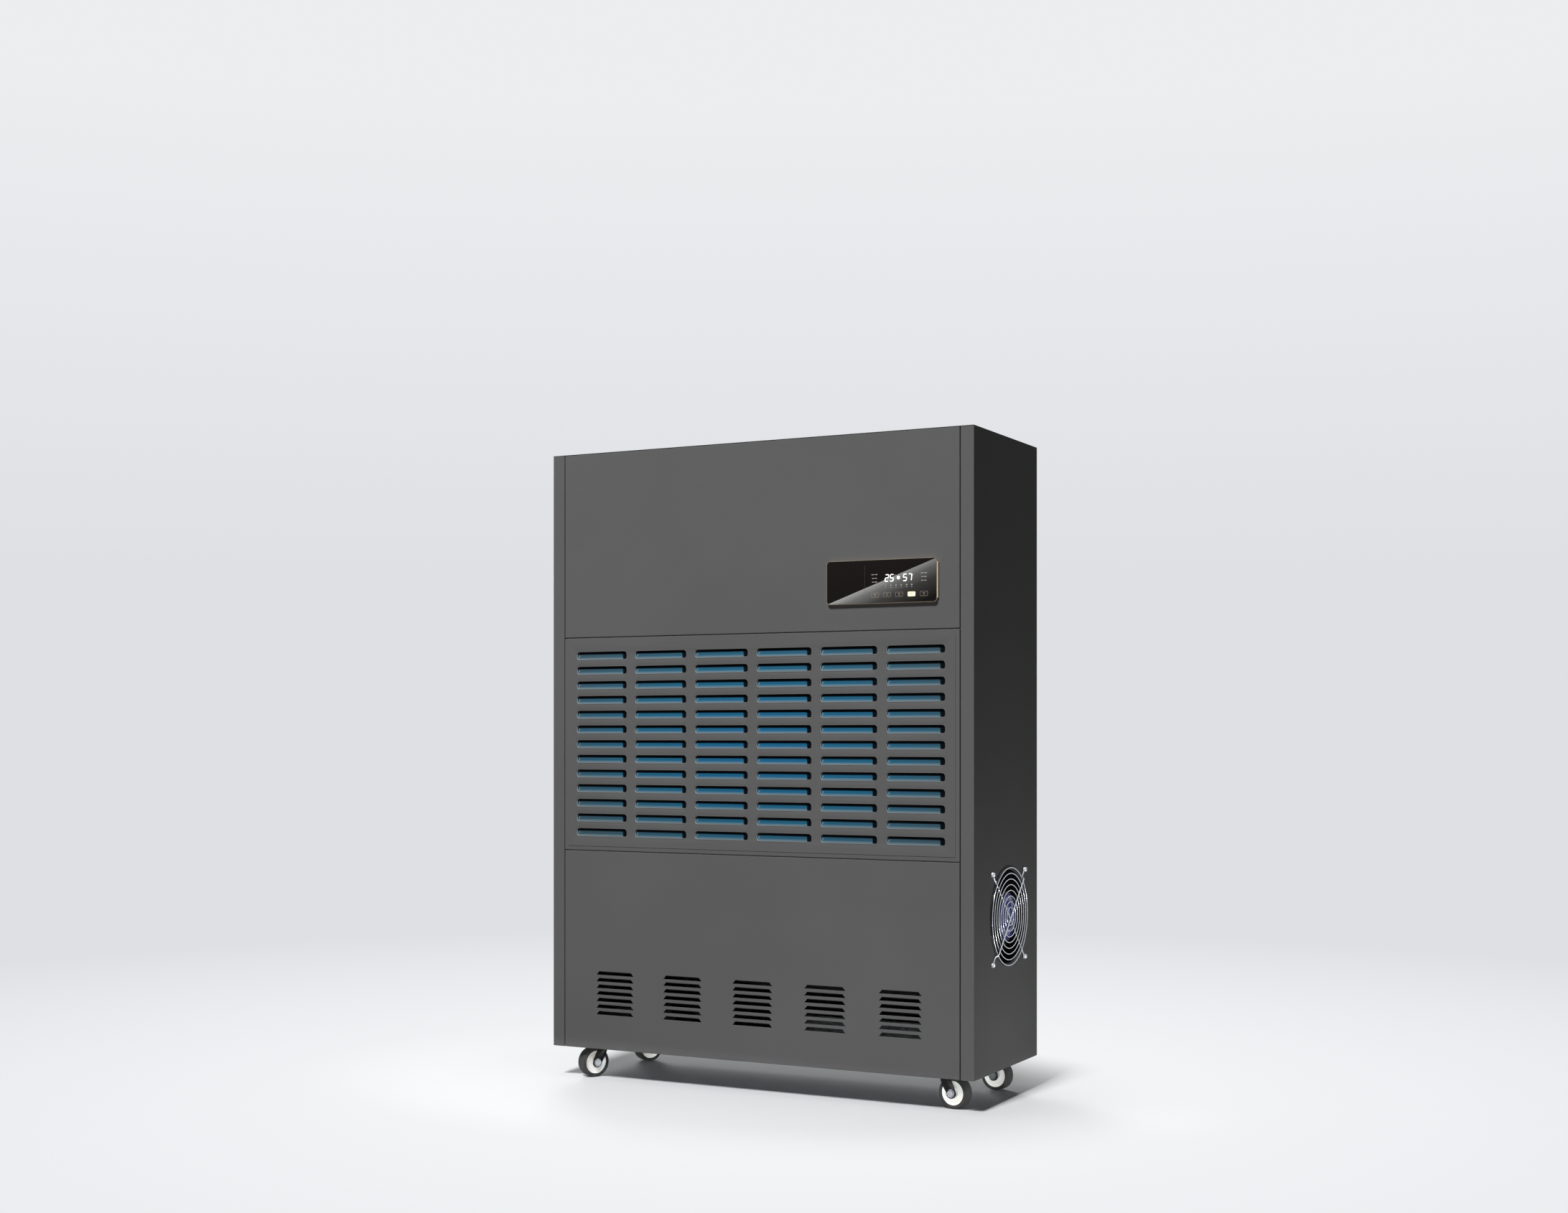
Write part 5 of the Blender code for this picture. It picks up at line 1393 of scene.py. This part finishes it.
@dataclass
class Caster:
    """One swivel caster: plate with its race, pressed fork, axle bolt, hub and tyre."""

    corner: Corner
    wheel_radius: float = 0.040
    wheel_width: float = 0.036
    tyre: float = 0.009
    tread_edge: float = 0.005
    top: float = 0.1025
    crown_drop: float = 0.016
    crown_length: float = 0.054
    crown_shift: float = 0.003
    crown_corner: float = 0.009
    crown_edge: float = 0.0018
    fork_sheet: float = 0.003
    fork_gap: float = 0.0015
    leg_end: float = 0.0135
    leg_widening: float = 0.75
    leg_shift: float = 0.006
    leg_flat: float = 1.08
    leg_ease: float = 0.0006
    gap: float = 0.0003
    bolt_radius: float = 0.005
    bolt_end: float = 0.008
    washer: tuple[Pair, ...] = ((0.0052, 0.0), (0.0104, 0.0), (0.0104, 0.0010), (0.0052, 0.0010))
    plate_sheet: float = 0.0035
    plate_corner: float = 0.008
    hole: Pair = (0.014, 0.0085)
    hole_corner: float = 0.00424
    hole_inset: Pair = (0.013, 0.012)

    def __post_init__(self) -> None:
        """Read kingpin and axle from the frame."""
        kingpin = joint_spot(f"{self.corner.value}_swivel")
        away = joint_spot(f"{self.corner.value}_roll") - kingpin
        self.trail = away.xy.length
        self.pin = Matrix.Translation((kingpin.x, kingpin.y, 0.0))
        self.turn = self.pin @ Matrix.Rotation(math.atan2(away.y, away.x), 4, "Z")
        self.wheel = self.turn @ Matrix.Translation((self.trail, 0.0, self.wheel_radius)) @ TO_FRONT
        self.crown_top = self.top - self.crown_drop
        self.crown_low = self.crown_top - self.fork_sheet
        self.leg_low = self.wheel_width / 2 + self.fork_gap

    def node(self, piece: str) -> str:
        """Name of one of this caster's nodes."""
        return f"{self.corner.value}_caster_{piece}"

    def build_wheel(self) -> None:
        """Turn the tyre with its crowned tread, and the hub with its boss and dished web."""
        half = self.wheel_width / 2
        rim = self.wheel_radius - self.tyre
        body = self.node("wheel")
        edge = self.tread_edge
        side = [(rim + self.gap, half - 0.002), (rim + 0.003, half - 0.0006),
                *arc((self.wheel_radius - edge - 0.0002, half - edge), edge, 90, 20, 5),
                (self.wheel_radius - 0.00005, 0.004)]
        tyre = Shape().turned(mirrored(side), 56, self.wheel, closed=True)
        tyre.closed().piece(self.node("tread"), TYRE_RUBBER, body, "tyre_rubber", (self.node("tyre"),),
                            sharp_deg=50.0)
        side = [(0.0057, half), (0.0118, half), (0.0126, half - 0.0008), (0.0140, half - 0.0060),
                (0.0215, half - 0.0062), (0.0222, half - 0.0050), (0.0285, half - 0.0034),
                (rim - 0.0012, half - 0.0028), (rim, half - 0.0034)]
        hub = Shape().turned(mirrored(side), 48, self.wheel, closed=True)
        hub.closed().piece(self.node("disc"), WHITE_NYLON, body, "white_nylon", (self.node("hub"),),
                           sharp_deg=32.0)

    def leg(self) -> Shape:
        """Cut one leg of the fork: round at the axle, wide and leaning back at the crown.

        Returns:
            The leg about the axle, lying on its plane.
        """
        made = Shape()
        verts = bmesh.ops.create_circle(made.form, cap_ends=True, segments=32, radius=self.leg_end)["verts"]
        rise = self.crown_low + self.fork_sheet * 0.5 - self.wheel_radius
        for vert in verts:
            if vert.co.y > 0.001:
                share = vert.co.y / self.leg_end
                lean = share * (self.trail - self.leg_shift)
                vert.co.x = vert.co.x * (1.0 + self.leg_widening * share) - lean
                vert.co.y = rise * min(1.0, share * self.leg_flat)
        made.raised(self.fork_sheet).closed()
        rims = [edge for edge in made.form.edges if edge.calc_face_angle(0.0) > RIM_ANGLE]
        bmesh.ops.bevel(made.form, geom=rims, offset=self.leg_ease, offset_type="OFFSET", segments=2,
                        profile=0.5, affect="EDGES", material=-1)
        return made

    def build_fork(self) -> None:
        """Press the fork: a crown with eased edges, two legs that narrow to the axle and the race's cup."""
        crown = self.turn @ Matrix.Translation((self.crown_shift, 0.0, self.crown_low))
        size = (self.crown_length, 2 * (self.leg_low + self.fork_sheet))
        made = Shape().slab(size, self.crown_corner, self.fork_sheet, crown, edge=self.crown_edge)
        leg = self.leg()
        for level in (-self.leg_low - self.fork_sheet, self.leg_low):
            made.absorb(leg, self.wheel @ Matrix.Translation((0.0, 0.0, level)))
        foot = self.crown_low - self.gap
        cup = [(0.0066, foot), (0.0066, self.crown_top), (0.0190, self.crown_top),
               (0.0190, self.crown_top - 0.0010), (0.0160, foot)]
        made.turned(cup, 32, self.turn, closed=True)
        made.closed().piece(self.node("yoke"), BLACK_ENAMEL, self.node("fork"), "black_enamel",
                            (self.node("fork"),), sharp_deg=40.0)

    def build_axle(self) -> None:
        """Make the axle bolt: hexagon head and nut with chamfered corners on their washers."""
        tip = self.leg_low + self.fork_sheet + self.gap
        end = -tip - self.bolt_end
        rod = [(0.0, end), (self.bolt_radius - 0.0006, end), (self.bolt_radius, end + 0.001),
               (self.bolt_radius, tip), (0.0, tip)]
        made = Shape().turned(rod, 20, self.wheel)
        nut = Shape().hexagon(radius=0.0096, low=0.0010, high=0.0066, chamfer=(0.0014, 0.0010)).closed()
        for turn in (math.pi, 0.0):
            place = self.wheel @ Matrix.Rotation(turn, 4, "X") @ Matrix.Translation((0.0, 0.0, tip))
            made.turned(self.washer, 28, place, closed=True)
            made.absorb(nut, place)
        made.closed().piece(self.node("bolt"), ZINC_PLATE, self.node("fork"), "zinc_plate",
                            (self.node("axle"),), sharp_deg=25.0)

    def build_plate(self) -> None:
        """Stamp the top plate with four slots and bolts, and turn the race under it."""
        low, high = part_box(self.node("plate"))
        size = (high.x - low.x, high.y - low.y)
        made = Shape()
        place = self.pin @ Matrix.Translation((0.0, 0.0, self.top - self.plate_sheet))
        edges = Loop(made.form, size, self.plate_corner, 24, place).edges
        reach = [size[way] / 2 - self.hole_inset[way] for way in (0, 1)]
        spots = [place @ Matrix.Translation((x * reach[0], y * reach[1], 0.0))
                 for x in (-1, 1) for y in (-1, 1)]
        for spot in spots:
            edges += Loop(made.form, self.hole, self.hole_corner, 16, spot).edges
        bmesh.ops.triangle_fill(made.form, use_beauty=True, use_dissolve=False, edges=edges,
                                normal=(0.0, 0.0, 1.0))
        made.raised(self.plate_sheet)
        seat = self.crown_top + self.gap
        foot = self.crown_low - 0.0005
        race = [(0.0, self.top - 0.0030), (0.0235, self.top - 0.0030), (0.0235, self.top - 0.0075),
                *arc((0.0205, seat + 0.003), 0.003, 0, -90, 4), (0.0060, seat), (0.0060, foot),
                (0.0090, foot), *arc((0.0070, foot - 0.003), 0.002, 0, -90, 3), (0.0, foot - 0.005)]
        made.turned(race, 36, self.pin)
        bolt = Shape().hexagon(radius=0.0068, low=0.0, high=-0.0044, chamfer=(0.0010, -0.0008)).closed()
        for spot in spots:
            made.absorb(bolt, spot)
        made.closed().piece(self.node("base"), ZINC_PLATE, "cabinet", "zinc_plate", (self.node("plate"),))

    def build(self) -> None:
        """Build every piece of the caster."""
        self.build_wheel()
        self.build_fork()
        self.build_axle()
        self.build_plate()


@dataclass
class Circuit:
    """The refrigerant circuit, the blower and the outlets, which show through the openings."""

    end_plate: float = 0.029
    grille_edge: float = 0.0004

    def build(self) -> None:
        """Give each inner piece its finish."""
        low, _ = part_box("evaporator_coil")
        # Pressed aluminium fins on copper tubes: fine bright stripes with painted shade between them.
        fins = FinStock("aluminium_fin_stock", "#b9bcbe", 0.4, metallic=1.0, plate_x=low.x + self.end_plate)
        dress(fins, "evaporator_coil", "condenser_coil")
        dress(COPPER, "discharge_pipe", "suction_pipe", "liquid_pipe", "capillary_tube", "filter_drier")
        dress(BLACK_ENAMEL, "compressor", "suction_accumulator")
        dress(GALVANISED, "blower_housing", "blower_wheel")
        dress(ZINC_PLATE, "blower_axle")
        dress(BLACK_ABS, "outlet_grille", edge=self.grille_edge)
        dress(HOSE_RUBBER, "drain_hose")
        dress(BRASS, "drain_spigot")
        dress(BLACK_ABS, "mains_gland")


@dataclass(frozen=True)
class Softbox:
    """A lamp: where it hangs, the point that it faces, its width and height, power and fan of light."""

    name: str
    spot: Spot
    aim: Spot
    size: Pair
    watts: float
    spread_deg: float = 180.0

    def hang(self) -> None:
        """Put the lamp in the scene."""
        data = bpy.data.lights.new(self.name, "AREA")
        data.shape = "RECTANGLE"
        data.size, data.size_y = self.size
        data.energy = self.watts
        data.spread = math.radians(self.spread_deg)
        lamp = add_object(self.name, data)
        lamp.location = self.spot
        lamp.rotation_euler = (Vector(self.aim) - Vector(self.spot)).to_track_quat("-Z", "Y").to_euler()


def in_sight(tree: bpy.types.NodeTree) -> Socket:
    """Tell what shows in the picture, straight, through glass or mirrored, from what only lights.

    Args:
        tree: the nodes that ask.

    Returns:
        1 for what shows and 0 for the rest.
    """
    rays = add_node(tree, "LightPath").node.outputs
    direct = add_node(tree, "Math", {0: rays["Is Camera Ray"], 1: rays["Is Transmission Ray"]},
                      operation="MAXIMUM")
    return add_node(tree, "Math", {0: direct, 1: rays["Is Glossy Ray"]}, operation="MAXIMUM")


@dataclass
class Stage:
    """The studio: a pale floor that runs to the horizon, soft lamps and the camera.

    The key hangs high in front, with a fill behind, a soft light over the floor, and low strips on the
    right and in front.
    """

    camera_spot: Spot = (2.446, -4.789, 0.949)
    camera_turn_deg: float = 27.27
    sensor_mm: float = 36.0
    lens_mm: float = 45.59
    shift_y: float = 0.0795
    backdrop: str = "#dfe0e4"
    backdrop_top: str = "#ecedef"
    backdrop_rise: Pair = (0.08, 0.3)
    fill: str = "#eceae6"
    fill_from: Spot = (-0.70, 0.70, 0.14)
    fill_reach: Pair = (0.45, 1.0)
    fill_strength: Pair = (0.02, 0.9)
    floor_tone: str = "#cfd0d2"
    floor_bounce: str = "#626364"
    floor_glow: str = "#f3f4f6"
    shadow_middle: Spot = (-0.12, -0.08, 0.0)
    shadow_reach: Spot = (0.9, 0.62, 1.0)
    shadow_fade: Pair = (0.85, 1.5)
    glow_fade: Pair = (1.0, 4.2)
    floor_radius: float = 60.0
    lamps: tuple[Softbox, ...] = (
        Softbox("key_softbox", (0.5, -9.5, 12.0), (0.0, -0.2, 0.95), (1.9, 2.6), 2850.0),
        Softbox("floor_softbox", (-0.1, -0.2, 4.8), (-0.1, -0.2, 0.0), (1.8, 1.8), 50.0),
        Softbox("back_softbox", (-5.8, 6.8, 3.2), (0.0, 0.0, 0.9), (3.0, 3.0), 620.0),
        Softbox("side_strip", (1.35, -0.04, 0.03), (0.62, 0.0, 0.25), (0.5, 0.04), 3.3),
        Softbox("front_strip", (0.3, -1.9, 0.012), (0.0, -0.2, 0.4), (1.4, 0.02), 5.0),
        Softbox("caster_strip", (0.5, -1.6, 0.012), (0.0, -0.2, 0.03), (1.6, 0.02), 0.42, 6.0),
    )

    def paper(self) -> bpy.types.Material:
        """Make the floor's paper: matt near the object, where it takes the shadow, and backdrop further out.

        Returns:
            The material.
        """
        made = bpy.data.materials.new("studio_paper")
        made.use_nodes = True
        tree = made.node_tree
        add = partial(add_node, tree)
        shader = tree.nodes["Principled BSDF"]
        shader.inputs["Roughness"].default_value = 0.9
        shader.inputs["Specular IOR Level"].default_value = 0.0
        place = add("TexCoord", out="Object")
        oval = add("Mapping", {"Vector": place, "Location": self.shadow_middle, "Scale": self.shadow_reach},
                   vector_type="TEXTURE")
        away = add("VectorMath", {0: oval}, "Value", operation="LENGTH")
        far = add("MapRange", {"Value": away, "From Min": self.shadow_fade[0],
                               "From Max": self.shadow_fade[1]}, interpolation_type="SMOOTHSTEP")
        depth = add("VectorMath", {0: place}, "Value", operation="LENGTH")
        level = add("MapRange", {"Value": depth, "From Min": self.glow_fade[0],
                                 "From Max": self.glow_fade[1]})
        tone = add("ValToRGB", {"Fac": level}, stops=tones((0.0, self.floor_glow), (1.0, self.backdrop)))
        seen = in_sight(tree)
        amount = add("Math", {0: seen, 1: far}, operation="MULTIPLY")
        paint = add("Mix", {AMOUNT: seen, BELOW: linear(self.floor_bounce), ABOVE: linear(self.floor_tone)},
                    MIXED, data_type="RGBA")
        tree.links.new(paint, shader.inputs["Base Color"])
        glow = add("Emission", {"Color": tone, "Strength": 1.0})
        mixed = add("MixShader", {0: amount, 1: shader.outputs["BSDF"], 2: glow})
        tree.links.new(mixed, tree.nodes["Material Output"].inputs["Surface"])
        return made

    def build_floor(self) -> None:
        """Lay the floor."""
        form = bmesh.new()
        bmesh.ops.create_circle(form, cap_ends=True, segments=96, radius=self.floor_radius)
        mesh = bpy.data.meshes.new("studio_floor")
        form.to_mesh(mesh)
        form.free()
        mesh.materials.append(self.paper())
        floor = add_object("studio_floor", mesh)

    def build_world(self) -> None:
        """Show the backdrop to the camera, and light the object softly from its left and back."""
        world = bpy.data.worlds.new("studio")
        bpy.context.scene.world = world
        world.use_nodes = True
        tree = world.node_tree
        add = partial(add_node, tree)
        heading = add("TexCoord", out="Generated")
        up = add("SeparateXYZ", {"Vector": heading}, "Z")
        low, high = self.backdrop_rise
        sheet = add("ValToRGB", {"Fac": up}, stops=tones((low, self.backdrop), (high, self.backdrop_top)))
        pale = add("Background", {"Color": sheet, "Strength": 1.0})
        side = add("VectorMath", {0: heading, 1: self.fill_from}, "Value", operation="DOT_PRODUCT")
        level = add("MapRange", {"Value": side,
                                 "From Min": self.fill_reach[0], "From Max": self.fill_reach[1],
                                 "To Min": self.fill_strength[0], "To Max": self.fill_strength[1]})
        room = tree.nodes["Background"]
        room.inputs["Color"].default_value = linear(self.fill)
        tree.links.new(level, room.inputs["Strength"])
        mixed = add("MixShader", {0: in_sight(tree), 1: room.outputs["Background"], 2: pale})
        tree.links.new(mixed, tree.nodes["World Output"].inputs["Surface"])

    def build_camera(self) -> None:
        """Set the camera at the photograph's angle."""
        data = bpy.data.cameras.new("camera")
        data.sensor_width = self.sensor_mm
        data.lens = self.lens_mm
        data.shift_y = self.shift_y
        camera = add_object("camera", data)
        camera.location = self.camera_spot
        camera.rotation_euler = (math.pi / 2, 0.0, math.radians(self.camera_turn_deg))
        bpy.context.scene.camera = camera

    def build(self) -> None:
        """Build the studio."""
        self.build_floor()
        self.build_world()
        for lamp in self.lamps:
            lamp.hang()
        self.build_camera()
        bpy.context.scene.view_settings.view_transform = "Standard"


def main() -> None:
    """Build the studio and every sub-assembly in order."""
    logging.basicConfig(level=logging.INFO, format="%(name)s: %(message)s")
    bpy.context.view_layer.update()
    for part in (Stage, Cabinet, IntakeGrille, ControlUnit, SideFan):
        part().build()
    for corner in Corner:
        Caster(corner).build()
    Circuit().build()


if __name__ == "__main__":
    main()
